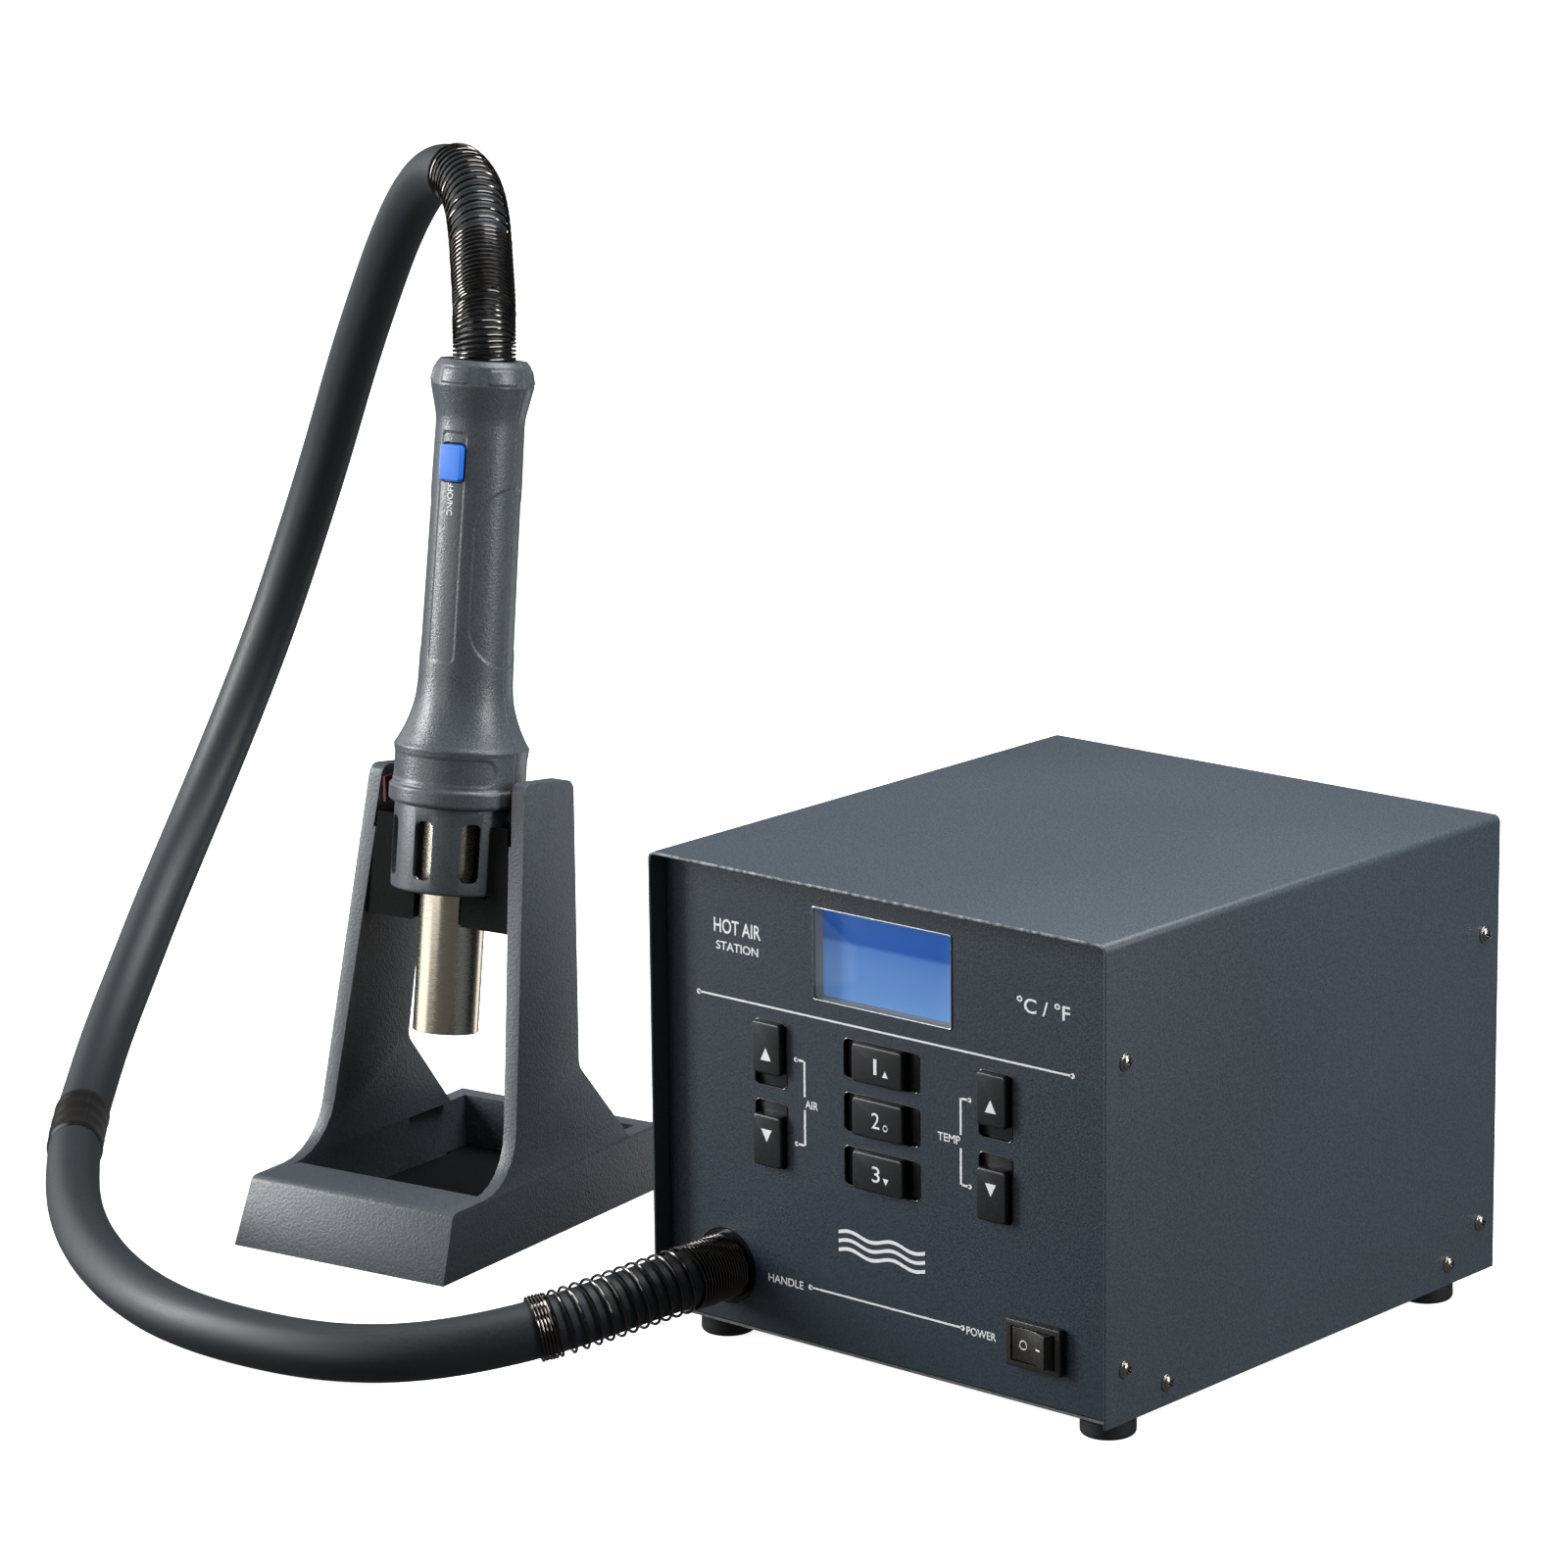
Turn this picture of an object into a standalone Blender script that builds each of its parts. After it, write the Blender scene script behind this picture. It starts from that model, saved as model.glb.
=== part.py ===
"""Hot air station: a blower case with a front panel, a hose and a handpiece that hangs in a cast stand.

Metres, +Z up, front towards -Y. The floor is z = 0 and the origin is the middle of the footprint.
"""

import math

import bmesh
import bpy
import numpy as np
from mathutils import Vector

# Driving dimensions of the case. Its frame: x = 0 in the middle, y = 0 at the cover's front edge,
# z = 0 at the cover's lower edge.
CASE_PLACE = (0.0973, -0.0946, 0.0092)
CASE_WIDTH = 0.1880
CASE_DEPTH = 0.2101
CASE_HEIGHT = 0.1555
SHEET = 0.0010
GAP = 0.0003
BEND_RADIUS = 0.0024

PANEL_FACE_Y = 0.0070
PANEL_FLANGE = 0.0085
REAR_FACE_Y = 0.2071
FLOOR_PLATE_Z = -0.0013
FLOOR_PLATE_HALF_WIDTH = 0.0880
FLOOR_FLANGE_TOP = 0.0140
INTAKE_SLOTS = 6
INTAKE_SLOT_STEP = 0.0060
INTAKE_SLOT_HALF = (0.0015, 0.0140)
CORNER_STEPS = 4
ROUND_STEPS = 32

# Cover screws, as (y, z) on each side, and their holes.
SCREW_PLACES = (
    (0.0097, 0.0177), (0.0097, 0.1167), (0.0311, 0.0075),
    (0.1838, 0.0075), (0.2017, 0.0174), (0.2017, 0.1167),
)
SCREW_HEAD_RADIUS = 0.00285
SCREW_HEAD_HEIGHT = 0.0017
SCREW_SHANK_RADIUS = 0.0013
SCREW_LENGTH = 0.0050
SCREW_HOLE_RADIUS = 0.0016

# Rubber feet.
FOOT_X = 0.0795
FOOT_Y = (0.0200, 0.1920)
FOOT_RADIUS = 0.0090
FOOT_CHAMFER = 0.0013
FOOT_PLUG_RADIUS = 0.0022

# Front panel features, in the case frame.
PANEL_MIDDLE_X = -0.0015
LCD_MIDDLE = (-0.00115, 0.13085)
LCD_SIZE = (0.0575, 0.0308)
KEY_PROUD = 0.0026
KEY_TRAVEL = 0.0012
KEY_STEM_RADIUS = 0.0021
KEY_RIM = 0.0015
STEP_KEY_X = 0.0465
STEP_KEY_OPENING = (0.0137, 0.0222)
STEP_KEY_CAP = (0.0120, 0.0172)
UP_OPENING_Z = 0.0940
DOWN_OPENING_Z = 0.0672
UP_CAP_Z = 0.0963
DOWN_CAP_Z = 0.0652
PRESET_OPENING = (0.0314, 0.0133)
PRESET_CAP = (0.0210, 0.0127)
PRESET_Z = (0.0986, 0.0808, 0.0630)
BOARD_FRONT_Y = 0.0190
BOARD_THICKNESS = 0.0016
BOARD_EXTENT = (0.0700, 0.0480, 0.1120)
SWITCH_BODY_FRONT_Y = 0.0150

ROCKER_MIDDLE = (0.0618, 0.0190)
BEZEL_SIZE = (0.0220, 0.0154)
BEZEL_PROUD = 0.0025
SWITCH_BODY = (0.0190, 0.0130)
SWITCH_BODY_DEPTH = 0.0190
ROCKER_APERTURE = (0.0177, 0.0116)
ROCKER_RADIUS = 0.0085
ROCKER_PIVOT_Y = 0.0070
ROCKER_TILT = math.radians(10.0)
ROCKER_HEIGHT = 0.0110

# Rear panel features.
INLET_MIDDLE = (0.0520, 0.0300)
INLET_FLANGE = (0.0310, 0.0244)
INLET_FLANGE_THICKNESS = 0.0020
INLET_BODY = (0.0274, 0.0200)
INLET_BODY_DEPTH = 0.0250
INLET_RECESS = (0.0240, 0.0160)
INLET_RECESS_DEPTH = 0.0160
INLET_PIN_X = (-0.0070, 0.0, 0.0070)
INLET_PIN_HALF = (0.0010, 0.0020)
INLET_PIN_END = 0.0030
VENT_COLUMNS = 2
VENT_ROWS = 7
VENT_SIZE = (0.0360, 0.0040)
VENT_FIRST = (-0.0600, 0.0700)
VENT_STEP = (0.0500, 0.0090)

OUTLET_X = -0.0685
OUTLET_Z = 0.0184
OUTLET_RADIUS = 0.0125
HOSE_RADIUS = 0.0095
SPRING_RADIUS = 0.0112
SLEEVE_CLEARANCE = 0.0005

# Blower: a drum on the floor plate, its snout towards the hose outlet.
BLOWER_MIDDLE = (-0.0330, 0.1180)
BLOWER_RADIUS = 0.0420
BLOWER_WALL = 0.0022
BLOWER_Z = (0.0010, 0.0400)
SNOUT_HALF = 0.0130
SNOUT_FRONT_Y = 0.0640
INTAKE_RADIUS = 0.0200
IMPELLER_RADIUS = 0.0330
BLADE_ROOT_RADIUS = 0.0090
BLADE_ROOT_SPREAD = 0.16
BLADE_TIP_SPREAD = 0.03
DUCT_RADIUS = 0.0115
DUCT_BORE = 0.0095
OUTLET_DEPTH = 0.0140
IMPELLER_BLADES = 12
SHAFT_RADIUS = 0.0020
MOTOR_RADIUS = 0.0150
MOTOR_HEIGHT = 0.0280

# Stand. Its frame: x = 0 in the middle, y = 0 at the front of the foot, z = 0 on the floor.
STAND_PLACE = (-0.1301, -0.1093, 0.0)
STAND_TURN = math.radians(8.0)
STAND_HALF_WIDTH = 0.0446
STAND_LEAN = math.tan(math.radians(4.2))
BASE_TOP_Z = 0.0230
STAND_OUTLINE = (
    (0.0000, 0.0000, 0.0000), (0.0090, 0.0230, 0.0030), (0.0449, 0.0230, 0.0220), (0.0700, 0.1585, 0.0040),
    (0.0985, 0.1545, 0.0040), (0.0880, 0.0550, 0.0060), (0.1145, 0.0230, 0.0030), (0.1340, 0.0230, 0.0020),
    (0.1370, 0.0000, 0.0000),
)
TRAY_HALF_WIDTH = 0.0370
TRAY_Y = (0.0295, 0.1260)
TRAY_FLOOR_Z = (0.0025, 0.0045)
UPRIGHT_WALL_AT_FRONT = 0.0050
UPRIGHT_WALL_GROWTH = 0.055
UPRIGHT_FRONT_Y = 0.0440
POCKET_Z = 0.1050
POCKET_FRONT_Y = 0.0660
POCKET_DEPTH = 0.0010
CRADLE_REACH = (0.0050, 0.0350)
CRADLE_HALF_DEPTH = 0.0090
CRADLE_ALONG = (0.0400, 0.0760)
CRADLE_THROAT_RADIUS = 0.0136
PAD_REACH = (0.02465, 0.02560)
PAD_FRONT_Y = {"left": 0.0672, "right": 0.0730}
PAD_BACK_Y = 0.0830
PAD_Z = (0.1460, 0.1550)

# Handpiece. Its frame hangs in the stand's middle plane, with z along the handle's axis.
HANDLE_PLACE = (0.0, 0.0650, 0.0661)
HANDLE_TILT = math.radians(-7.9)
NOZZLE_TIP = 0.0016
NOZZLE_TOP = 0.0880
NOZZLE_RADIUS = 0.0115
NOZZLE_WALL = 0.0008
GUARD_BOTTOM = 0.0515
GUARD_TOP = 0.0817
GUARD_RADIUS = 0.0220
GUARD_WALL = 0.0018
GUARD_SLOTS = 8
GUARD_SLOT_SIZE = (0.0075, 0.0210)
GUARD_SLOT_MIDDLE = 0.0665
GUARD_SLOT_TURN = math.radians(4.0)
GUARD_NECK_TOP = 0.0950
GUARD_NECK_RADIUS = 0.0206
GUARD_CHAMFER = 0.0012
# Outer side of the handle shells, as (radius, distance along the axis) from the collar down to the lip.
HANDLE_OUTER = (
    (0.0150, 0.2350), (0.0164, 0.2332), (0.0179, 0.2265), (0.0153, 0.2150), (0.0156, 0.1950), (0.0160, 0.1600),
    (0.0164, 0.1300), (0.0165, 0.1230), (0.0171, 0.1170), (0.0188, 0.1110), (0.0211, 0.1055), (0.0235, 0.1015),
    (0.0233, 0.1000), (0.0233, 0.0885), (0.0243, 0.0875), (0.0243, 0.0828), (0.0237, 0.0820),
)
# Inner side, from the lip up to the collar's mouth.
HANDLE_INNER = (
    (0.0209, 0.0820), (0.0209, 0.0970), (0.0160, 0.1130), (0.0140, 0.1230), (0.0130, 0.1950), (0.0130, 0.2150),
    (0.0140, 0.2230), (0.0140, 0.2270), (0.0116, 0.2290), (0.0116, 0.2350),
)
BUTTON_SIZE = (0.0090, 0.0124)
BUTTON_ALONG = 0.2000
BUTTON_PROUD_Y = -0.0168
BUTTON_TRAVEL = 0.0010
BUTTON_FLANGE_Y = -0.0117
BUTTON_FLANGE_THICKNESS = 0.0009
BUTTON_BOARD_Y = (-0.0072, -0.0056)
BUTTON_BOARD_HALF_WIDTH = 0.0060
BUTTON_BOARD_ALONG = (0.1400, 0.2060)
BUTTON_SWITCH_HALF = 0.0030
BUTTON_SWITCH_FRONT_Y = -0.0093
HOSE_COUPLING = (
    (0.0112, 0.2325), (0.0112, 0.2272), (0.0128, 0.2268), (0.0128, 0.2240), (0.0112, 0.2236), (0.0112, 0.2080),
)
HOSE_COUPLING_BORE = 0.0070

# Route of the hose's middle line, chosen by hand, from the panel along the floor and up to the handle.
HOSE_ROUTE = (
    (0.0288, -0.0892, 0.0276), (0.0273, -0.1045, 0.0272), (0.0228, -0.1200, 0.0254), (0.0125, -0.1460, 0.0208),
    (-0.0025, -0.1670, 0.0162), (-0.0215, -0.1835, 0.0125), (-0.0450, -0.1950, 0.0105),
    (-0.0750, -0.2010, 0.0099), (-0.1130, -0.2000, 0.0098), (-0.1430, -0.1915, 0.0098),
    (-0.1740, -0.1770, 0.0099), (-0.2190, -0.1475, 0.0104), (-0.2590, -0.1125, 0.0110),
    (-0.2875, -0.0840, 0.0118), (-0.3140, -0.0535, 0.0157), (-0.3380, -0.0225, 0.0241),
    (-0.3580, 0.0090, 0.0380), (-0.3740, 0.0400, 0.0577), (-0.3838, 0.0692, 0.0840),
    (-0.3854, 0.0927, 0.1164), (-0.3790, 0.1080, 0.1529), (-0.3660, 0.1138, 0.1905),
    (-0.3483, 0.1122, 0.2266), (-0.3276, 0.1051, 0.2603), (-0.3041, 0.0950, 0.2914),
    (-0.2781, 0.0821, 0.3193), (-0.2485, 0.0658, 0.3410), (-0.2155, 0.0458, 0.3515),
    (-0.1825, 0.0240, 0.3470), (-0.1580, 0.0020, 0.3268), (-0.1492, -0.0066, 0.3142),
    (-0.1445, -0.0118, 0.3065), (-0.1437, -0.0126, 0.3016),
)
HOSE_POINTS = 64
PANEL_SPRING_POINTS = 5
HANDLE_SPRING_POINTS = 7
BAND_MIDDLE = (-0.2820, -0.0905, 0.0110)
BAND_RADIUS = 0.0107

COLOURS = {
    "painted_steel": ((0.055, 0.070, 0.085, 1.0), 0.45, 0.6),
    "cover_paint": ((0.085, 0.095, 0.105, 1.0), 0.5, 0.6),
    "zinc_steel": ((0.55, 0.55, 0.54, 1.0), 0.35, 1.0),
    "dark_screw": ((0.10, 0.10, 0.11, 1.0), 0.3, 1.0),
    "foot_rubber": ((0.02, 0.02, 0.022, 1.0), 0.7, 0.0),
    "lcd_glass": ((0.10, 0.25, 0.60, 1.0), 0.08, 0.0),
    "lcd_frame": ((0.35, 0.33, 0.30, 1.0), 0.5, 0.0),
    "circuit_board": ((0.02, 0.16, 0.07, 1.0), 0.5, 0.0),
    "key_plastic": ((0.03, 0.032, 0.036, 1.0), 0.4, 0.0),
    "switch_plastic": ((0.028, 0.026, 0.025, 1.0), 0.35, 0.0),
    "blower_plastic": ((0.05, 0.05, 0.055, 1.0), 0.5, 0.0),
    "copper_winding": ((0.55, 0.22, 0.07, 1.0), 0.4, 0.7),
    "aluminium": ((0.75, 0.75, 0.76, 1.0), 0.35, 1.0),
    "hose_rubber": ((0.030, 0.040, 0.048, 1.0), 0.6, 0.0),
    "spring_steel": ((0.015, 0.015, 0.016, 1.0), 0.2, 0.8),
    "band_plastic": ((0.030, 0.022, 0.018, 1.0), 0.25, 0.0),
    "stand_paint": ((0.085, 0.095, 0.105, 1.0), 0.5, 0.4),
    "stand_insert": ((0.02, 0.02, 0.022, 1.0), 0.5, 0.0),
    "red_silicone": ((0.35, 0.02, 0.015, 1.0), 0.5, 0.0),
    "handle_plastic": ((0.075, 0.080, 0.088, 1.0), 0.5, 0.0),
    "button_blue": ((0.04, 0.25, 0.80, 1.0), 0.3, 0.0),
    "nozzle_steel": ((0.60, 0.56, 0.48, 1.0), 0.28, 1.0),
    "ceramic": ((0.80, 0.76, 0.68, 1.0), 0.7, 0.0),
}


def clear_scene():
    for old in list(bpy.data.objects):
        bpy.data.objects.remove(old, do_unlink=True)


def new_collection(name):
    group = bpy.data.collections.new(name)
    bpy.context.scene.collection.children.link(group)
    return group


clear_scene()
PARTS = new_collection("hot_air_station")
CUTTERS = new_collection("cutters")


def new_frame(name, place, rotation=(0.0, 0.0, 0.0), parent=None):
    frame = bpy.data.objects.new(name, None)
    frame.location = place
    frame.rotation_euler = rotation
    frame.parent = parent
    PARTS.objects.link(frame)
    return frame


CASE = new_frame("case_frame", CASE_PLACE)
STAND = new_frame("stand_frame_origin", STAND_PLACE, (0.0, 0.0, STAND_TURN))
HANDLE = new_frame("handpiece_origin", HANDLE_PLACE, (HANDLE_TILT, 0.0, 0.0), STAND)


def surface(name):
    """The material of this name, made on first use."""
    known = bpy.data.materials.get(name)
    if known:
        return known
    colour, roughness, metallic = COLOURS[name]
    material = bpy.data.materials.new(name)
    material.use_nodes = True
    shader = material.node_tree.nodes["Principled BSDF"]
    shader.inputs["Base Color"].default_value = colour
    shader.inputs["Roughness"].default_value = roughness
    shader.inputs["Metallic"].default_value = metallic
    material.diffuse_color = colour
    return material


def place(name, data, frame, at=(0.0, 0.0, 0.0), rotation=(0.0, 0.0, 0.0)):
    piece = bpy.data.objects.new(name, data)
    piece.parent = frame
    piece.location = at
    piece.rotation_euler = rotation
    PARTS.objects.link(piece)
    return piece


def finish(piece, material):
    """Gives a piece its surface and smooths its round faces."""
    piece.data.materials.clear()
    piece.data.materials.append(surface(material))
    if isinstance(piece.data, bpy.types.Mesh):
        piece.data.shade_smooth()
        piece.data.set_sharp_from_angle(angle=math.radians(35.0))
    return piece


def mesh_from(name, shape):
    mesh = bpy.data.meshes.new(name)
    shape.to_mesh(mesh)
    shape.free()
    return mesh


def block(name, low, high, frame):
    """A box between two corners."""
    shape = bmesh.new()
    bmesh.ops.create_cube(shape, size=1.0)
    sides = [top - bottom for bottom, top in zip(low, high)]
    bmesh.ops.scale(shape, vec=sides, verts=shape.verts)
    middle = [(top + bottom) / 2 for bottom, top in zip(low, high)]
    return place(name, mesh_from(name, shape), frame, middle)


def cylinder(name, radius, start, end, frame, axis="z", steps=ROUND_STEPS):
    """A cylinder along an axis of its frame, from start to the same point moved to end on that axis."""
    length = end["xyz".index(axis)] - start["xyz".index(axis)]
    shape = bmesh.new()
    bmesh.ops.create_cone(
        shape, cap_ends=True, segments=steps, radius1=radius, radius2=radius, depth=abs(length)
    )
    turn = {"x": (0.0, math.pi / 2, 0.0), "y": (math.pi / 2, 0.0, 0.0), "z": (0.0, 0.0, 0.0)}[axis]
    middle = [(a + b) / 2 for a, b in zip(start, end)]
    return place(name, mesh_from(name, shape), frame, middle, turn)


def rounded_outline(corners):
    """Points of a closed outline whose corners are (a, b, radius), with an arc at each rounded one."""
    points = []
    for i, (a, b, radius) in enumerate(corners):
        here = Vector((a, b))
        before = (Vector(corners[i - 1][:2]) - here).normalized()
        after = (Vector(corners[(i + 1) % len(corners)][:2]) - here).normalized()
        if radius == 0.0:
            points.append(here)
            continue
        half = before.angle(after) / 2
        centre = here + (before + after).normalized() * (radius / math.sin(half))
        first = here + before * (radius / math.tan(half)) - centre
        last = here + after * (radius / math.tan(half)) - centre
        for step in range(CORNER_STEPS + 1):
            points.append(centre + first.slerp(last, step / CORNER_STEPS).normalized() * radius)
    return points


def rectangle(middle, size, radius):
    """Corners of a rectangle for rounded_outline."""
    half_width = size[0] / 2
    half_height = size[1] / 2
    signs = ((-1, -1), (1, -1), (1, 1), (-1, 1))
    return [(middle[0] + sx * half_width, middle[1] + sy * half_height, radius) for sx, sy in signs]


FACING = {"front": (math.pi / 2, 0.0, 0.0), "side": (math.pi / 2, 0.0, math.pi / 2), "top": (0.0, 0.0, 0.0)}
ALONG = {"front": (0, 1, 0), "side": (1, 0, 0), "top": (0, 0, 1)}


def extrusion(name, corners, start, end, frame, facing):
    """A flat outline given depth from start to end, as a mesh.

    facing "front" takes (x, z) corners and goes along y; "side" takes (y, z), along x; "top" takes (x, y), along z.
    """
    curve = bpy.data.curves.new(name, "CURVE")
    curve.dimensions = "2D"
    curve.fill_mode = "BOTH"
    curve.extrude = (end - start) / 2
    spline = curve.splines.new("POLY")
    points = rounded_outline(corners)
    spline.points.add(len(points) - 1)
    for point, (a, b) in zip(spline.points, points):
        point.co = (a, b, 0.0, 1.0)
    spline.use_cyclic_u = True
    middle = Vector(ALONG[facing]) * ((start + end) / 2)
    return as_mesh(place(name, curve, frame, middle, FACING[facing]))


def as_mesh(curve_piece):
    """Replaces a curve object by a mesh object with welded caps."""
    graph = bpy.context.evaluated_depsgraph_get()
    mesh = bpy.data.meshes.new_from_object(curve_piece.evaluated_get(graph))
    shape = bmesh.new()
    shape.from_mesh(mesh)
    bmesh.ops.remove_doubles(shape, verts=shape.verts, dist=0.000001)
    bmesh.ops.recalc_face_normals(shape, faces=shape.faces)
    shape.to_mesh(mesh)
    shape.free()
    name = curve_piece.name
    frame, at, rotation = curve_piece.parent, tuple(curve_piece.location), tuple(curve_piece.rotation_euler)
    bpy.data.objects.remove(curve_piece)
    mesh.name = name
    return place(name, mesh, frame, at, rotation)


def turned(name, profile, frame, at=(0.0, 0.0, 0.0), rotation=(0.0, 0.0, 0.0), ring=False, steps=ROUND_STEPS):
    """A turned shape from a profile of (radius, height), outer side first; a ring's profile is closed."""
    mesh = bpy.data.meshes.new(name)
    points = [(radius, 0.0, height) for radius, height in profile]
    edges = [(i, i + 1) for i in range(len(points) - 1)]
    if ring:
        edges.append((len(points) - 1, 0))
    mesh.from_pydata(points, edges, [])
    piece = place(name, mesh, frame, at, rotation)
    screw = piece.modifiers.new("turn", "SCREW")
    screw.steps = steps
    screw.render_steps = steps
    screw.use_merge_vertices = True
    screw.merge_threshold = 0.00001
    screw.use_smooth_shade = True
    return piece


def to_cutters(piece):
    PARTS.objects.unlink(piece)
    CUTTERS.objects.link(piece)
    piece.hide_render = True
    piece.display_type = "WIRE"
    return piece


def combine(piece, tool, operation):
    boolean = piece.modifiers.new(operation.lower(), "BOOLEAN")
    boolean.operation = operation
    boolean.object = to_cutters(tool)
    return piece


def cut(piece, *tools):
    for tool in tools:
        combine(piece, tool, "DIFFERENCE")
    return piece


def join(piece, *tools):
    for tool in tools:
        combine(piece, tool, "UNION")
    return piece


def keep(piece, tool):
    return combine(piece, tool, "INTERSECT")


def screw_hole_tools(name, side, places):
    """Cylinders through one side wall of the case."""
    inner = side * (CASE_WIDTH / 2 - 4 * SHEET)
    outer = side * (CASE_WIDTH / 2 + SHEET)
    low, high = min(inner, outer), max(inner, outer)
    return [
        cylinder(f"{name}_{i}", SCREW_HOLE_RADIUS, (low, y, z), (high, y, z), CASE, "x", 16)
        for i, (y, z) in enumerate(places)
    ]


def make_cover():
    half = CASE_WIDTH / 2
    inside = half - SHEET
    top = CASE_HEIGHT
    corners = [
        (-half, 0.0, 0.0), (-inside, 0.0, 0.0), (-inside, top - SHEET, BEND_RADIUS - SHEET),
        (inside, top - SHEET, BEND_RADIUS - SHEET), (inside, 0.0, 0.0), (half, 0.0, 0.0),
        (half, top, BEND_RADIUS), (-half, top, BEND_RADIUS),
    ]
    cover = extrusion("case_cover", corners, 0.0, CASE_DEPTH, CASE, "front")
    for side in (-1, 1):
        cut(cover, *screw_hole_tools(f"cover_holes_{side}", side, SCREW_PLACES))
    finish(cover, "cover_paint")


def make_screws():
    """Pan head screws, their heads just off the cover's sides."""
    profile = (
        (0.0, SCREW_HEAD_HEIGHT), (SCREW_HEAD_RADIUS * 0.55, SCREW_HEAD_HEIGHT),
        (SCREW_HEAD_RADIUS * 0.9, SCREW_HEAD_HEIGHT * 0.65), (SCREW_HEAD_RADIUS, 0.0),
        (SCREW_SHANK_RADIUS, 0.0),
        (SCREW_SHANK_RADIUS, -SCREW_LENGTH), (0.0, -SCREW_LENGTH),
    )
    for side, word in ((-1, "left"), (1, "right")):
        for i, (y, z) in enumerate(SCREW_PLACES):
            at = (side * (CASE_WIDTH / 2 + GAP), y, z)
            turn = (0.0, side * math.pi / 2, 0.0)
            screw = turned(f"cover_screw_{word}_{i + 1}", profile, CASE, at, turn, steps=12)
            finish(screw, "dark_screw")


def pan(name, y_face, y_back):
    """A folded sheet pan inside the cover: a face at y_face and a flange to y_back all round."""
    half = CASE_WIDTH / 2 - SHEET - GAP
    middle = (0.0, (CASE_HEIGHT - SHEET - GAP) / 2)
    size = (2 * half, CASE_HEIGHT - SHEET - GAP)
    low, high = min(y_face, y_back), max(y_face, y_back)
    sheet = SHEET if y_back > y_face else -SHEET
    past = y_back + sheet
    shell = extrusion(name, rectangle(middle, size, 0.0012), low, high, CASE, "front")
    inner_size = (size[0] - 2 * SHEET, size[1] - 2 * SHEET)
    hollow_low, hollow_high = sorted((y_face + sheet, past))
    corners = rectangle(middle, inner_size, 0.0004)
    hollow = extrusion(f"{name}_hollow", corners, hollow_low, hollow_high, CASE, "front")
    return cut(shell, hollow)


def panel_opening(name, middle, size, radius):
    """A cutter through the front panel's sheet."""
    return extrusion(
        name, rectangle(middle, size, radius), PANEL_FACE_Y - SHEET, PANEL_FACE_Y + 2 * SHEET, CASE, "front"
    )


def key_layout():
    """Name, opening middle and size, and cap middle and size of each key."""
    keys = []
    for word, x in (("air", PANEL_MIDDLE_X - STEP_KEY_X), ("temp", PANEL_MIDDLE_X + STEP_KEY_X)):
        keys.append((f"{word}_up_key", (x, UP_OPENING_Z), STEP_KEY_OPENING, (x, UP_CAP_Z), STEP_KEY_CAP))
        keys.append((f"{word}_down_key", (x, DOWN_OPENING_Z), STEP_KEY_OPENING, (x, DOWN_CAP_Z), STEP_KEY_CAP))
    for i, z in enumerate(PRESET_Z):
        middle = (PANEL_MIDDLE_X, z)
        keys.append((f"preset_key_{i + 1}", middle, PRESET_OPENING, middle, PRESET_CAP))
    return keys


def make_front_panel():
    panel = pan("front_panel", PANEL_FACE_Y, PANEL_FACE_Y + PANEL_FLANGE)
    cut(panel, panel_opening("lcd_opening", LCD_MIDDLE, LCD_SIZE, 0.0012))
    for name, middle, size, _, _ in key_layout():
        cut(panel, panel_opening(f"{name}_opening", middle, size, 0.0020))
    body = (SWITCH_BODY[0] + 2 * GAP, SWITCH_BODY[1] + 2 * GAP)
    cut(panel, panel_opening("switch_opening", ROCKER_MIDDLE, body, 0.0))
    start = (OUTLET_X, PANEL_FACE_Y - SHEET, OUTLET_Z)
    end = (OUTLET_X, PANEL_FACE_Y + 2 * SHEET, OUTLET_Z)
    cut(panel, cylinder("outlet_opening", OUTLET_RADIUS + GAP, start, end, CASE, "y"))
    for side in (-1, 1):
        cut(panel, *screw_hole_tools(f"panel_holes_{side}", side, SCREW_PLACES[:2]))
    finish(panel, "painted_steel")


def make_rear_panel():
    """The rear pan, with the mains inlet's opening and two columns of air slots."""
    panel = pan("rear_panel", REAR_FACE_Y, REAR_FACE_Y - PANEL_FLANGE)
    low, high = REAR_FACE_Y - 2 * SHEET, REAR_FACE_Y + SHEET
    size = (INLET_BODY[0] + 2 * GAP, INLET_BODY[1] + 2 * GAP)
    cut(panel, extrusion("inlet_opening", rectangle(INLET_MIDDLE, size, 0.0), low, high, CASE, "front"))
    for column in range(VENT_COLUMNS):
        for row in range(VENT_ROWS):
            middle = (VENT_FIRST[0] + VENT_STEP[0] * column, VENT_FIRST[1] + VENT_STEP[1] * row)
            corners = rectangle(middle, VENT_SIZE, 0.0)
            cut(panel, extrusion(f"rear_vent_{column}_{row}", corners, low, high, CASE, "front"))
    for side in (-1, 1):
        cut(panel, *screw_hole_tools(f"rear_holes_{side}", side, SCREW_PLACES[4:]))
    finish(panel, "painted_steel")


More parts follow.
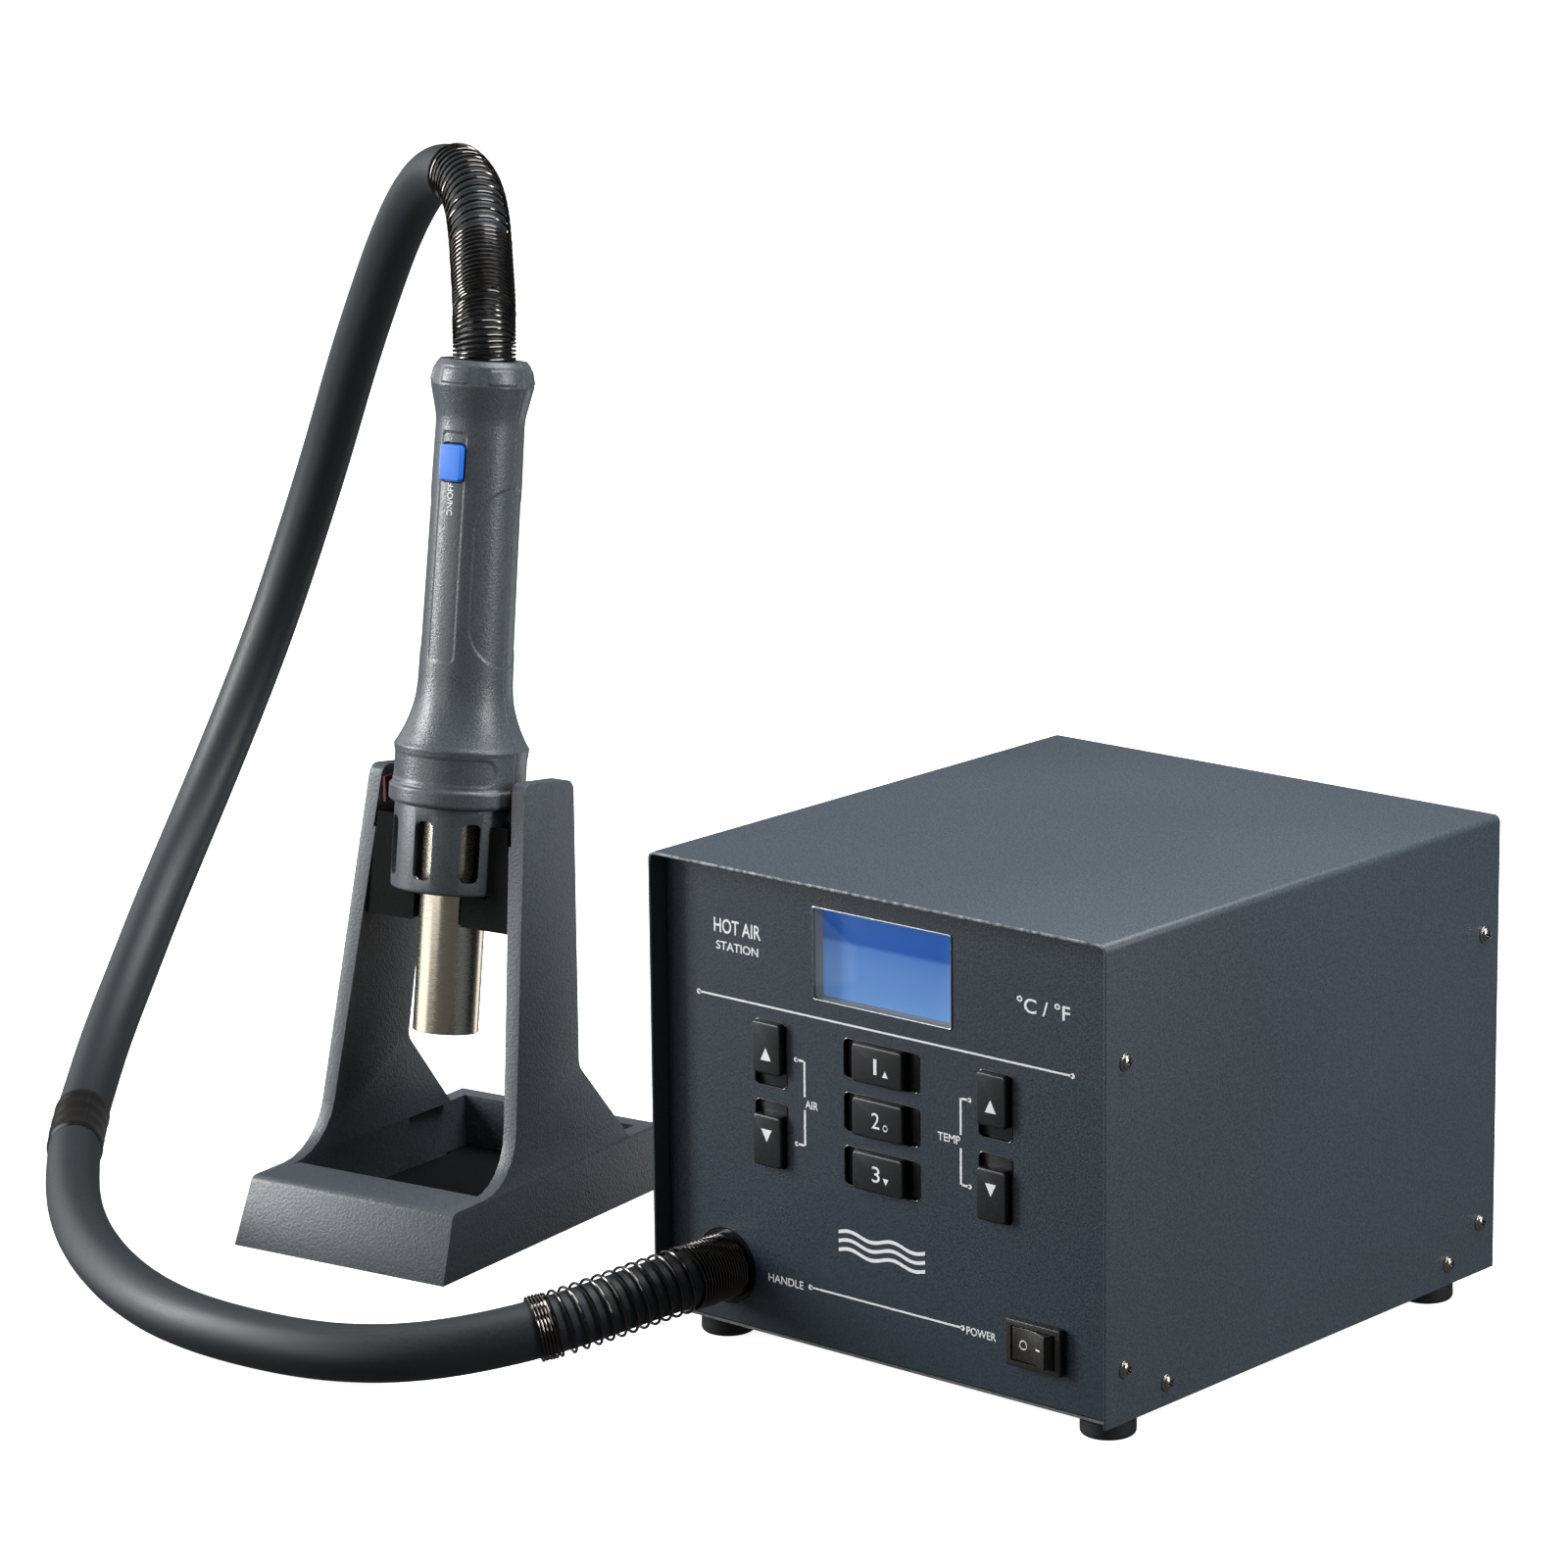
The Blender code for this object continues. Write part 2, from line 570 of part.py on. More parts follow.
def make_base_plate():
    """The floor pan: a flat plate below the panels, with side flanges that rise inside the cover."""
    plate_top = FLOOR_PLATE_Z + SHEET
    plate = block(
        "base_plate",
        (-FLOOR_PLATE_HALF_WIDTH, PANEL_FACE_Y, FLOOR_PLATE_Z),
        (FLOOR_PLATE_HALF_WIDTH, REAR_FACE_Y, plate_top),
        CASE,
    )
    outer = CASE_WIDTH / 2 - SHEET - GAP
    inner = outer - SHEET
    low = PANEL_FACE_Y + PANEL_FLANGE + GAP
    high = REAR_FACE_Y - PANEL_FLANGE - GAP
    for side in (-1, 1):
        ledge = FLOOR_PLATE_HALF_WIDTH - 2 * SHEET
        corners = [
            (side * ledge, FLOOR_PLATE_Z, 0.0), (side * FLOOR_PLATE_HALF_WIDTH, FLOOR_PLATE_Z, 0.0),
            (side * FLOOR_PLATE_HALF_WIDTH, GAP, 0.0), (side * outer, GAP, 0.0),
            (side * outer, FLOOR_FLANGE_TOP, 0.0), (side * inner, FLOOR_FLANGE_TOP, 0.0),
            (side * inner, GAP + SHEET, 0.0), (side * ledge, GAP + SHEET, 0.0),
        ]
        join(plate, extrusion(f"base_flange_{side}", corners, low, high, CASE, "front"))
        cut(plate, *screw_hole_tools(f"base_holes_{side}", side, SCREW_PLACES[2:4]))
        for y in FOOT_Y:
            start = (side * FOOT_X, y, FLOOR_PLATE_Z - SHEET)
            end = (side * FOOT_X, y, plate_top + SHEET)
            cut(plate, cylinder(f"foot_hole_{side}_{y}", FOOT_PLUG_RADIUS + GAP, start, end, CASE, "z", 16))
    for i in range(INTAKE_SLOTS):
        x = BLOWER_MIDDLE[0] + INTAKE_SLOT_STEP * (i - (INTAKE_SLOTS - 1) / 2)
        half_x, half_y = INTAKE_SLOT_HALF
        low_corner = (x - half_x, BLOWER_MIDDLE[1] - half_y, FLOOR_PLATE_Z - SHEET)
        high_corner = (x + half_x, BLOWER_MIDDLE[1] + half_y, plate_top + SHEET)
        cut(plate, block(f"intake_slot_{i}", low_corner, high_corner, CASE))
    finish(plate, "zinc_steel")


def make_feet():
    """Rubber feet, each with a plug through the floor pan."""
    top = FLOOR_PLATE_Z - GAP
    bottom = -CASE_PLACE[2]
    profile = (
        (0.0, 0.0030), (FOOT_PLUG_RADIUS * 0.6, 0.0030), (FOOT_PLUG_RADIUS, 0.0020), (FOOT_PLUG_RADIUS, top),
        (FOOT_RADIUS, top), (FOOT_RADIUS, bottom + FOOT_CHAMFER), (FOOT_RADIUS - FOOT_CHAMFER, bottom),
        (0.0, bottom),
    )
    for side, word in ((-1, "left"), (1, "right")):
        for y, end in zip(FOOT_Y, ("front", "rear")):
            foot = turned(f"foot_{end}_{word}", profile, CASE, (side * FOOT_X, y, 0.0), steps=24)
            finish(foot, "foot_rubber")


def make_display():
    """A clear window held from behind the panel, and the display module behind it."""
    size = (LCD_SIZE[0] - 2 * GAP, LCD_SIZE[1] - 2 * GAP)
    back = PANEL_FACE_Y + SHEET + GAP
    corners = rectangle(LCD_MIDDLE, size, 0.0009)
    window = extrusion("lcd_window", corners, PANEL_FACE_Y - 0.0004, back + 0.0012, CASE, "front")
    rim = (LCD_SIZE[0] + 2 * KEY_RIM, LCD_SIZE[1] + 2 * KEY_RIM)
    join(window, extrusion("lcd_rim", rectangle(LCD_MIDDLE, rim, 0.0), back, back + 0.0010, CASE, "front"))
    finish(window, "lcd_glass")
    module_size = (LCD_SIZE[0] + 0.006, LCD_SIZE[1] + 0.004)
    front = back + 0.0012 + GAP
    corners = rectangle(LCD_MIDDLE, module_size, 0.0)
    module = extrusion("lcd_module", corners, front, front + 0.0060, CASE, "front")
    finish(module, "lcd_frame")


def make_keys():
    """Keys that stand out of the panel, each with a flange behind it and a stem to its switch."""
    flange_front = PANEL_FACE_Y + SHEET + GAP
    flange_back = flange_front + 0.0012
    stem_end = SWITCH_BODY_FRONT_Y - KEY_TRAVEL - GAP
    for name, opening, opening_size, cap, cap_size in key_layout():
        corners = rectangle(cap, cap_size, 0.0014)
        key = extrusion(name, corners, PANEL_FACE_Y - KEY_PROUD, flange_front + 0.0006, CASE, "front")
        rim = (opening_size[0] + 2 * KEY_RIM, opening_size[1] + 2 * KEY_RIM)
        corners = rectangle(opening, rim, 0.0)
        join(key, extrusion(f"{name}_rim", corners, flange_front, flange_back, CASE, "front"))
        start = (cap[0], flange_back - 0.0005, cap[1])
        join(key, cylinder(f"{name}_stem", KEY_STEM_RADIUS, start, (cap[0], stem_end, cap[1]), CASE, "y", 12))
        finish(key, "key_plastic")


def make_control_board():
    """The board behind the keys, with one switch body at each key."""
    half, low_z, high_z = BOARD_EXTENT
    back = BOARD_FRONT_Y + BOARD_THICKNESS
    board = block("control_board", (-half, BOARD_FRONT_Y, low_z), (half, back, high_z), CASE)
    for name, _, _, cap, _ in key_layout():
        low = (cap[0] - 0.0030, SWITCH_BODY_FRONT_Y, cap[1] - 0.0030)
        high = (cap[0] + 0.0030, BOARD_FRONT_Y + 0.0004, cap[1] + 0.0030)
        join(board, block(f"{name}_switch", low, high, CASE))
    finish(board, "circuit_board")


def make_power_switch():
    """Rocker switch body with its bezel, and the rocker pressed in on its left side."""
    front = PANEL_FACE_Y - GAP - BEZEL_PROUD
    corners = rectangle(ROCKER_MIDDLE, BEZEL_SIZE, 0.0008)
    housing = extrusion("power_switch_housing", corners, front, PANEL_FACE_Y - GAP, CASE, "front")
    corners = rectangle(ROCKER_MIDDLE, SWITCH_BODY, 0.0)
    join(housing, extrusion("switch_body", corners, PANEL_FACE_Y - 0.001, SWITCH_BODY_DEPTH, CASE, "front"))
    corners = rectangle(ROCKER_MIDDLE, ROCKER_APERTURE, 0.0)
    aperture = extrusion("rocker_aperture", corners, 0.0, SWITCH_BODY_DEPTH - 0.0030, CASE, "front")
    cut(housing, aperture)
    finish(housing, "switch_plastic")

    flank = math.radians(30.0)
    heel = math.radians(-25.0)
    steps = 4
    right = [flank + (heel - flank) * i / steps for i in range(steps + 1)]
    valley = ROCKER_RADIUS * (math.sin(flank) - math.cos(flank) * math.tan(ROCKER_TILT))
    outline = [(ROCKER_RADIUS * math.cos(a), -ROCKER_RADIUS * math.sin(a), 0.0) for a in right]
    outline += [(-x, y, 0.0) for x, y, _ in reversed(outline)]
    outline.append((0.0, -valley, 0.0))
    rocker = extrusion("power_rocker", outline, -ROCKER_HEIGHT / 2, ROCKER_HEIGHT / 2, CASE, "top")
    rocker.location = (ROCKER_MIDDLE[0], ROCKER_PIVOT_Y, ROCKER_MIDDLE[1])
    rocker.rotation_euler = (0.0, 0.0, -ROCKER_TILT)
    finish(rocker, "switch_plastic")


def make_hose_outlet():
    """The socket behind the panel that the hose is plugged on, with its lock collar."""
    front = PANEL_FACE_Y
    profile = (
        (OUTLET_RADIUS, 0.0), (OUTLET_RADIUS, -0.0013), (0.0160, -0.0013), (0.0160, -0.0060),
        (OUTLET_RADIUS, -0.0060), (OUTLET_RADIUS, -OUTLET_DEPTH), (0.0080, -OUTLET_DEPTH), (0.0080, 0.0),
    )
    at = (OUTLET_X, front, OUTLET_Z)
    outlet = turned("hose_outlet", profile, CASE, at, (math.pi / 2, 0.0, 0.0), ring=True)
    finish(outlet, "aluminium")


def make_blower():
    """A drum with a snout, its impeller and its motor."""
    x, y = BLOWER_MIDDLE
    low, high = BLOWER_Z
    wall = BLOWER_WALL
    housing = cylinder("blower_housing", BLOWER_RADIUS, (x, y, low), (x, y, high), CASE, "z", 40)
    snout_x = (OUTLET_X - SNOUT_HALF, OUTLET_X + SNOUT_HALF)
    snout_y = (SNOUT_FRONT_Y, BLOWER_MIDDLE[1])
    snout_z = (OUTLET_Z - SNOUT_HALF, OUTLET_Z + SNOUT_HALF)
    corners = ((snout_x[0], snout_y[0], snout_z[0]), (snout_x[1], snout_y[1], snout_z[1]))
    join(housing, block("snout", *corners, CASE))
    inner = BLOWER_RADIUS - wall
    cut(housing, cylinder("drum_hollow", inner, (x, y, low + wall), (x, y, high - wall), CASE, "z", 40))
    hollow_low = (snout_x[0] + wall, snout_y[0] - 0.001, snout_z[0] + wall)
    hollow_high = (snout_x[1] - wall, snout_y[1], snout_z[1] - wall)
    cut(housing, block("snout_hollow", hollow_low, hollow_high, CASE))
    intake_top = (x, y, low + wall + SHEET)
    cut(housing, cylinder("intake", INTAKE_RADIUS, (x, y, low - SHEET), intake_top, CASE, "z", 24))
    shaft_hole = SHAFT_RADIUS + 2 * GAP
    cut(housing, cylinder("lid_hole", shaft_hole, (x, y, high - 2 * wall), (x, y, high + wall), CASE, "z", 16))
    finish(housing, "blower_plastic")

    outline = []
    for i in range(IMPELLER_BLADES):
        turn = 2 * math.pi * i / IMPELLER_BLADES
        for radius, offset in (
            (BLADE_ROOT_RADIUS, -BLADE_ROOT_SPREAD), (IMPELLER_RADIUS, -BLADE_TIP_SPREAD),
            (IMPELLER_RADIUS, BLADE_TIP_SPREAD), (BLADE_ROOT_RADIUS, BLADE_ROOT_SPREAD),
        ):
            outline.append((radius * math.cos(turn + offset), radius * math.sin(turn + offset), 0.0))
    blade_z = (low + wall + 0.002, high - wall - 0.002)
    impeller = extrusion("blower_impeller", outline, blade_z[0], blade_z[1] - 0.001, CASE, "top")
    impeller.location = (x, y, impeller.location.z)
    disc_start = (x, y, blade_z[1] - 0.003)
    join(impeller, cylinder("impeller_disc", IMPELLER_RADIUS, disc_start, (x, y, blade_z[1]), CASE, "z"))
    join(impeller, cylinder("shaft", SHAFT_RADIUS, disc_start, (x, y, high + 0.012), CASE, "z", 16))
    finish(impeller, "blower_plastic")

    top = high + GAP
    motor = cylinder("blower_motor", MOTOR_RADIUS, (x, y, top), (x, y, top + MOTOR_HEIGHT), CASE)
    cut(motor, cylinder("motor_bore", shaft_hole, (x, y, top - 0.001), (x, y, high + 0.013), CASE, "z", 16))
    finish(motor, "aluminium")


def make_outlet_duct():
    """A straight duct between the blower's snout and the hose outlet."""
    front = PANEL_FACE_Y + OUTLET_DEPTH + GAP
    length = SNOUT_FRONT_Y - GAP - front
    profile = ((DUCT_RADIUS, 0.0), (DUCT_RADIUS, -length), (DUCT_BORE, -length), (DUCT_BORE, 0.0))
    at = (OUTLET_X, front, OUTLET_Z)
    duct = turned("outlet_duct", profile, CASE, at, (math.pi / 2, 0.0, 0.0), ring=True)
    finish(duct, "blower_plastic")


def make_power_parts():
    """Mains inlet, transformer, power board and its heat sink."""
    body_back = REAR_FACE_Y - INLET_BODY_DEPTH
    flange_front = REAR_FACE_Y + GAP
    corners = rectangle(INLET_MIDDLE, INLET_FLANGE, 0.0030)
    flange_back = flange_front + INLET_FLANGE_THICKNESS
    inlet = extrusion("mains_inlet", corners, flange_front, flange_back, CASE, "front")
    corners = rectangle(INLET_MIDDLE, INLET_BODY, 0.0)
    join(inlet, extrusion("inlet_body", corners, body_back, flange_front + SHEET, CASE, "front"))
    corners = rectangle(INLET_MIDDLE, INLET_RECESS, 0.0)
    recess_back = REAR_FACE_Y - INLET_RECESS_DEPTH
    cut(inlet, extrusion("inlet_recess", corners, recess_back, REAR_FACE_Y + 0.0100, CASE, "front"))
    middle_x, middle_z = INLET_MIDDLE
    half_x, half_z = INLET_PIN_HALF
    for i, x in enumerate(INLET_PIN_X):
        low = (middle_x + x - half_x, recess_back - SHEET, middle_z - half_z)
        high = (middle_x + x + half_x, REAR_FACE_Y - INLET_PIN_END, middle_z + half_z)
        join(inlet, block(f"inlet_pin_{i}", low, high, CASE))
    finish(inlet, "switch_plastic")

    transformer = block("transformer", (0.0250, 0.1130, 0.0030), (0.0790, 0.1700, 0.0480), CASE)
    join(transformer, block("transformer_coil", (0.0340, 0.1060, 0.0100), (0.0700, 0.1770, 0.0410), CASE))
    finish(transformer, "copper_winding")

    board = block("power_board", (0.0050, 0.0350, 0.0070), (0.0850, 0.1000, 0.0086), CASE)
    for i, (x, y, radius, height) in enumerate(((0.020, 0.050, 0.008, 0.022), (0.020, 0.070, 0.006, 0.018))):
        join(board, cylinder(f"capacitor_{i}", radius, (x, y, 0.008), (x, y, 0.008 + height), CASE, "z", 20))
    for i, (x, y) in enumerate(((0.009, 0.039), (0.081, 0.039), (0.009, 0.096), (0.081, 0.096))):
        join(board, cylinder(f"spacer_{i}", 0.0025, (x, y, 0.0), (x, y, 0.0075), CASE, "z", 12))
    finish(board, "circuit_board")

    sink = block("heat_sink", (0.0400, 0.0450, 0.0090), (0.0780, 0.0900, 0.0130), CASE)
    for i in range(5):
        x = 0.0405 + 0.0088 * i
        join(sink, block(f"fin_{i}", (x, 0.0450, 0.0120), (x + 0.0018, 0.0900, 0.0340), CASE))
    finish(sink, "aluminium")


def stand_half_width(z):
    return STAND_HALF_WIDTH - STAND_LEAN * z


def upright_inner(y, z):
    """Half of the gap between the uprights, whose walls grow thicker towards the back."""
    wall = UPRIGHT_WALL_AT_FRONT + UPRIGHT_WALL_GROWTH * (y - UPRIGHT_FRONT_Y)
    return stand_half_width(z) - wall


def leaning_block(name, half_width, y_range, z_range, frame):
    """A box whose sides follow half_width(y, z)."""
    shape = bmesh.new()
    bmesh.ops.create_cube(shape, size=2.0)
    for vertex in shape.verts:
        y = y_range[vertex.co.y > 0]
        z = z_range[vertex.co.z > 0]
        vertex.co = (vertex.co.x * half_width(y, z), y, z)
    return place(name, mesh_from(name, shape), frame)


def make_stand():
    """The cast stand: a foot with a rectangular well, and two leaning uprights."""
    side = extrusion("stand_frame", STAND_OUTLINE, -0.0500, 0.0500, STAND, "side")
    limits = ((-0.0100, 0.1500), (-0.0100, 0.1700))
    keep(side, leaning_block("stand_sides", lambda y, z: stand_half_width(z), *limits, STAND))
    gap_z = (BASE_TOP_Z, 0.1700)
    cut(side, leaning_block("upright_gap", upright_inner, (-0.0100, 0.1500), gap_z, STAND))
    pocket_z = (POCKET_Z, 0.1700)
    limits = ((POCKET_FRONT_Y, 0.1500), pocket_z)
    cut(side, leaning_block("pocket", lambda y, z: upright_inner(y, z) + POCKET_DEPTH, *limits, STAND))
    well_low = (-TRAY_HALF_WIDTH, TRAY_Y[0], -0.0010)
    well_high = (TRAY_HALF_WIDTH, TRAY_Y[1], BASE_TOP_Z + 0.0010)
    cut(side, block("well", well_low, well_high, STAND))
    finish(side, "stand_paint")

    low = (-TRAY_HALF_WIDTH + GAP, TRAY_Y[0] + GAP, TRAY_FLOOR_Z[0])
    high = (TRAY_HALF_WIDTH - GAP, TRAY_Y[1] - GAP, TRAY_FLOOR_Z[1])
    finish(block("stand_floor_plate", low, high, STAND), "stand_insert")


def make_cradles():
    """Inserts inside the uprights: prongs under the nozzle guard and a hollow around it."""
    for side, word in ((-1, "left"), (1, "right")):
        edges = sorted(side * edge for edge in CRADLE_REACH)
        low = (edges[0], -CRADLE_HALF_DEPTH, CRADLE_ALONG[0])
        high = (edges[1], CRADLE_HALF_DEPTH, CRADLE_ALONG[1])
        cradle = block(f"cradle_{word}", low, high, HANDLE)
        limits = ((0.0300, 0.1300), (0.0900, 0.1700))
        liner = leaning_block(f"cradle_limit_{word}", lambda y, z: upright_inner(y, z) - GAP, *limits, STAND)
        keep(cradle, liner)
        seat = GUARD_BOTTOM - GAP
        bore = cylinder(f"cradle_seat_{word}", GUARD_RADIUS + 0.0006, (0, 0, seat), (0, 0, 0.09), HANDLE)
        throat = cylinder(f"cradle_throat_{word}", CRADLE_THROAT_RADIUS, (0, 0, 0.02), (0, 0, 0.09), HANDLE)
        cut(cradle, bore, throat)
        finish(cradle, "stand_insert")


def make_pads():
    """Red rubber pads between the uprights' tops and the handle's lip."""
    for side, word in ((-1, "left"), (1, "right")):
        edges = sorted(side * edge for edge in PAD_REACH)
        low = (edges[0], PAD_FRONT_Y[word], PAD_Z[0])
        high = (edges[1], PAD_BACK_Y, PAD_Z[1])
        pad = block(f"stand_pad_{word}", low, high, STAND)
        finish(pad, "red_silicone")


def make_handle_shells():
    """The front and rear halves of the handle, parted at the plane through its axis."""
    for word, side in (("front", -1), ("rear", 1)):
        shell = turned(f"handle_{word}_shell", HANDLE_OUTER + HANDLE_INNER, HANDLE, ring=True)
        limits = sorted((side * GAP / 2, side * 0.0300))
        keep(shell, block(f"{word}_half", (-0.03, limits[0], 0.07), (0.03, limits[1], 0.25), HANDLE))
        if word == "front":
            size = (BUTTON_SIZE[0] + 2 * GAP, BUTTON_SIZE[1] + 2 * GAP)
            corners = rectangle((0.0, BUTTON_ALONG), size, 0.0018)
            cut(shell, extrusion("button_opening", corners, -0.0250, -0.0100, HANDLE, "front"))
        finish(shell, "handle_plastic")


def make_button():
    """The blue button and the switch board behind it."""
    corners = rectangle((0.0, BUTTON_ALONG), BUTTON_SIZE, 0.0015)
    button = extrusion("handle_button", corners, BUTTON_PROUD_Y, BUTTON_FLANGE_Y, HANDLE, "front")
    rim = (BUTTON_SIZE[0] - 0.0010, BUTTON_SIZE[1] + 0.0030)
    corners = rectangle((0.0, BUTTON_ALONG), rim, 0.0)
    start, end = BUTTON_FLANGE_Y - 0.0002, BUTTON_FLANGE_Y + BUTTON_FLANGE_THICKNESS
    join(button, extrusion("button_rim", corners, start, end, HANDLE, "front"))
    finish(button, "button_blue")

    low = (-BUTTON_BOARD_HALF_WIDTH, BUTTON_BOARD_Y[0], BUTTON_BOARD_ALONG[0])
    high = (BUTTON_BOARD_HALF_WIDTH, BUTTON_BOARD_Y[1], BUTTON_BOARD_ALONG[1])
    board = block("button_board", low, high, HANDLE)
    low = (-BUTTON_SWITCH_HALF, BUTTON_SWITCH_FRONT_Y, BUTTON_ALONG - BUTTON_SWITCH_HALF)
    high = (BUTTON_SWITCH_HALF, BUTTON_BOARD_Y[0] + 0.0002, BUTTON_ALONG + BUTTON_SWITCH_HALF)
    join(board, block("button_switch", low, high, HANDLE))
    finish(board, "circuit_board")


def make_nozzle():
    """The steel nozzle tube, the heater core inside it and the slotted guard around it."""
    inner = NOZZLE_RADIUS - NOZZLE_WALL
    profile = (
        (NOZZLE_RADIUS, NOZZLE_TOP), (NOZZLE_RADIUS, NOZZLE_TIP), (inner, NOZZLE_TIP), (inner, NOZZLE_TOP),
    )
    finish(turned("nozzle_tube", profile, HANDLE, ring=True), "nozzle_steel")

    profile = (
        (0.0, 0.1150), (0.0090, 0.1150), (0.0090, 0.0880), (0.0100, 0.0870), (0.0100, 0.0200),
        (0.0030, 0.0180),
        (0.0, 0.0180),
    )
    finish(turned("heater_core", profile, HANDLE, steps=24), "ceramic")

    collar = NOZZLE_RADIUS + GAP
    neck = GUARD_NECK_RADIUS
    inside = GUARD_RADIUS - GUARD_WALL
    profile = (
        (neck, GUARD_NECK_TOP), (neck, GUARD_TOP), (GUARD_RADIUS, GUARD_TOP),
        (GUARD_RADIUS, GUARD_BOTTOM + GUARD_CHAMFER),
        (GUARD_RADIUS - GUARD_CHAMFER, GUARD_BOTTOM), (collar, GUARD_BOTTOM), (collar, GUARD_BOTTOM + 0.0020),
        (inside, GUARD_BOTTOM + 0.0020), (inside, GUARD_TOP - 0.0016), (neck - 0.0018, GUARD_TOP),
        (neck - 0.0018, GUARD_NECK_TOP),
    )
    guard = turned("nozzle_guard", profile, HANDLE, ring=True)
    for i in range(GUARD_SLOTS):
        turn = GUARD_SLOT_TURN + 2 * math.pi * i / GUARD_SLOTS
        radius = GUARD_SLOT_SIZE[0] / 2 - 0.0001
        corners = rectangle((0.0, GUARD_SLOT_MIDDLE), GUARD_SLOT_SIZE, radius)
        slot = extrusion(f"guard_slot_{i}", corners, -0.0260, -0.0160, HANDLE, "front")
        middle = slot.location.copy()
        slot.location = (-middle.y * math.sin(turn), middle.y * math.cos(turn), middle.z)
        slot.rotation_euler = (math.pi / 2, 0.0, turn)
        cut(guard, slot)
    finish(guard, "handle_plastic")


def make_coupling():
    profile = HOSE_COUPLING + ((HOSE_COUPLING_BORE, 0.2080), (HOSE_COUPLING_BORE, 0.2325))
    finish(turned("hose_coupling", profile, HANDLE, ring=True, steps=24), "stand_insert")


def smooth_route(route, count):
    """Points spaced evenly along the natural cubic spline through a route."""
    knots = np.array(route)
    steps = np.linalg.norm(np.diff(knots, axis=0), axis=1)
    n = len(knots)
    system = np.zeros((n, n))
    wanted = np.zeros((n, 3))
    system[0, 0] = system[-1, -1] = 1.0
    for i in range(1, n - 1):
        system[i, i - 1:i + 2] = (steps[i - 1], 2 * (steps[i - 1] + steps[i]), steps[i])
        rise = (knots[i + 1] - knots[i]) / steps[i] - (knots[i] - knots[i - 1]) / steps[i - 1]
        wanted[i] = 6 * rise
    bends = np.linalg.solve(system, wanted)
    fine = []
    for i, step in enumerate(steps):
        for part in np.linspace(0.0, 1.0, 40, endpoint=i == n - 2):
            other = 1.0 - part
            line = other * knots[i] + part * knots[i + 1]
            bow = ((other**3 - other) * bends[i] + (part**3 - part) * bends[i + 1]) * step**2 / 6
            fine.append(line + bow)
    fine = np.array(fine)
    along = np.concatenate(([0.0], np.cumsum(np.linalg.norm(np.diff(fine, axis=0), axis=1))))
    even = np.linspace(0.0, along[-1], count)
    return np.stack([np.interp(even, along, fine[:, axis]) for axis in range(3)], axis=1)


def tube(name, points, radius):
    curve = bpy.data.curves.new(name, "CURVE")
    curve.dimensions = "3D"
    curve.bevel_depth = radius
    curve.bevel_resolution = 3
    curve.use_fill_caps = True
    spline = curve.splines.new("POLY")
    spline.points.add(len(points) - 1)
    for point, at in zip(spline.points, points):
        point.co = (*at, 1.0)
    return place(name, curve, None)


def sleeve(name, points, inner, outer, material):
    """A hollow tube around a stretch of the hose."""
    shell = as_mesh(tube(name, points, outer))
    first = points[0] + (points[0] - points[1])
    last = points[-1] + (points[-1] - points[-2])
    bore = as_mesh(tube(f"{name}_bore", np.vstack((first, points, last)), inner))
    finish(cut(shell, bore), material)


def make_hose():
    """The hose with the spring guards at both ends and a band around it, all as plain tubes."""
    points = smooth_route(HOSE_ROUTE, HOSE_POINTS)
    finish(tube("hose", points, HOSE_RADIUS), "hose_rubber")
    bore = HOSE_RADIUS + SLEEVE_CLEARANCE
    sleeve("panel_spring", points[:PANEL_SPRING_POINTS], bore, SPRING_RADIUS, "spring_steel")
    sleeve("handle_spring", points[-HANDLE_SPRING_POINTS:], bore, SPRING_RADIUS, "spring_steel")
    nearest = int(np.argmin(np.linalg.norm(points - np.array(BAND_MIDDLE), axis=1)))
    sleeve("hose_band", points[nearest - 1:nearest + 2], bore + 0.0001, BAND_RADIUS, "band_plastic")


make_cover()
make_screws()
make_front_panel()
make_rear_panel()
make_base_plate()
make_feet()
make_display()
make_keys()
make_control_board()
make_power_switch()
make_hose_outlet()
make_blower()
make_outlet_duct()
make_power_parts()
make_stand()
make_cradles()
make_pads()
make_handle_shells()
make_button()
make_nozzle()
make_coupling()
make_hose()
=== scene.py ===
"""Looks of the hot air station: camera, studio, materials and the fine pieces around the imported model."""

import math

import bmesh
import bpy
import numpy as np
from mathutils import Matrix, Vector


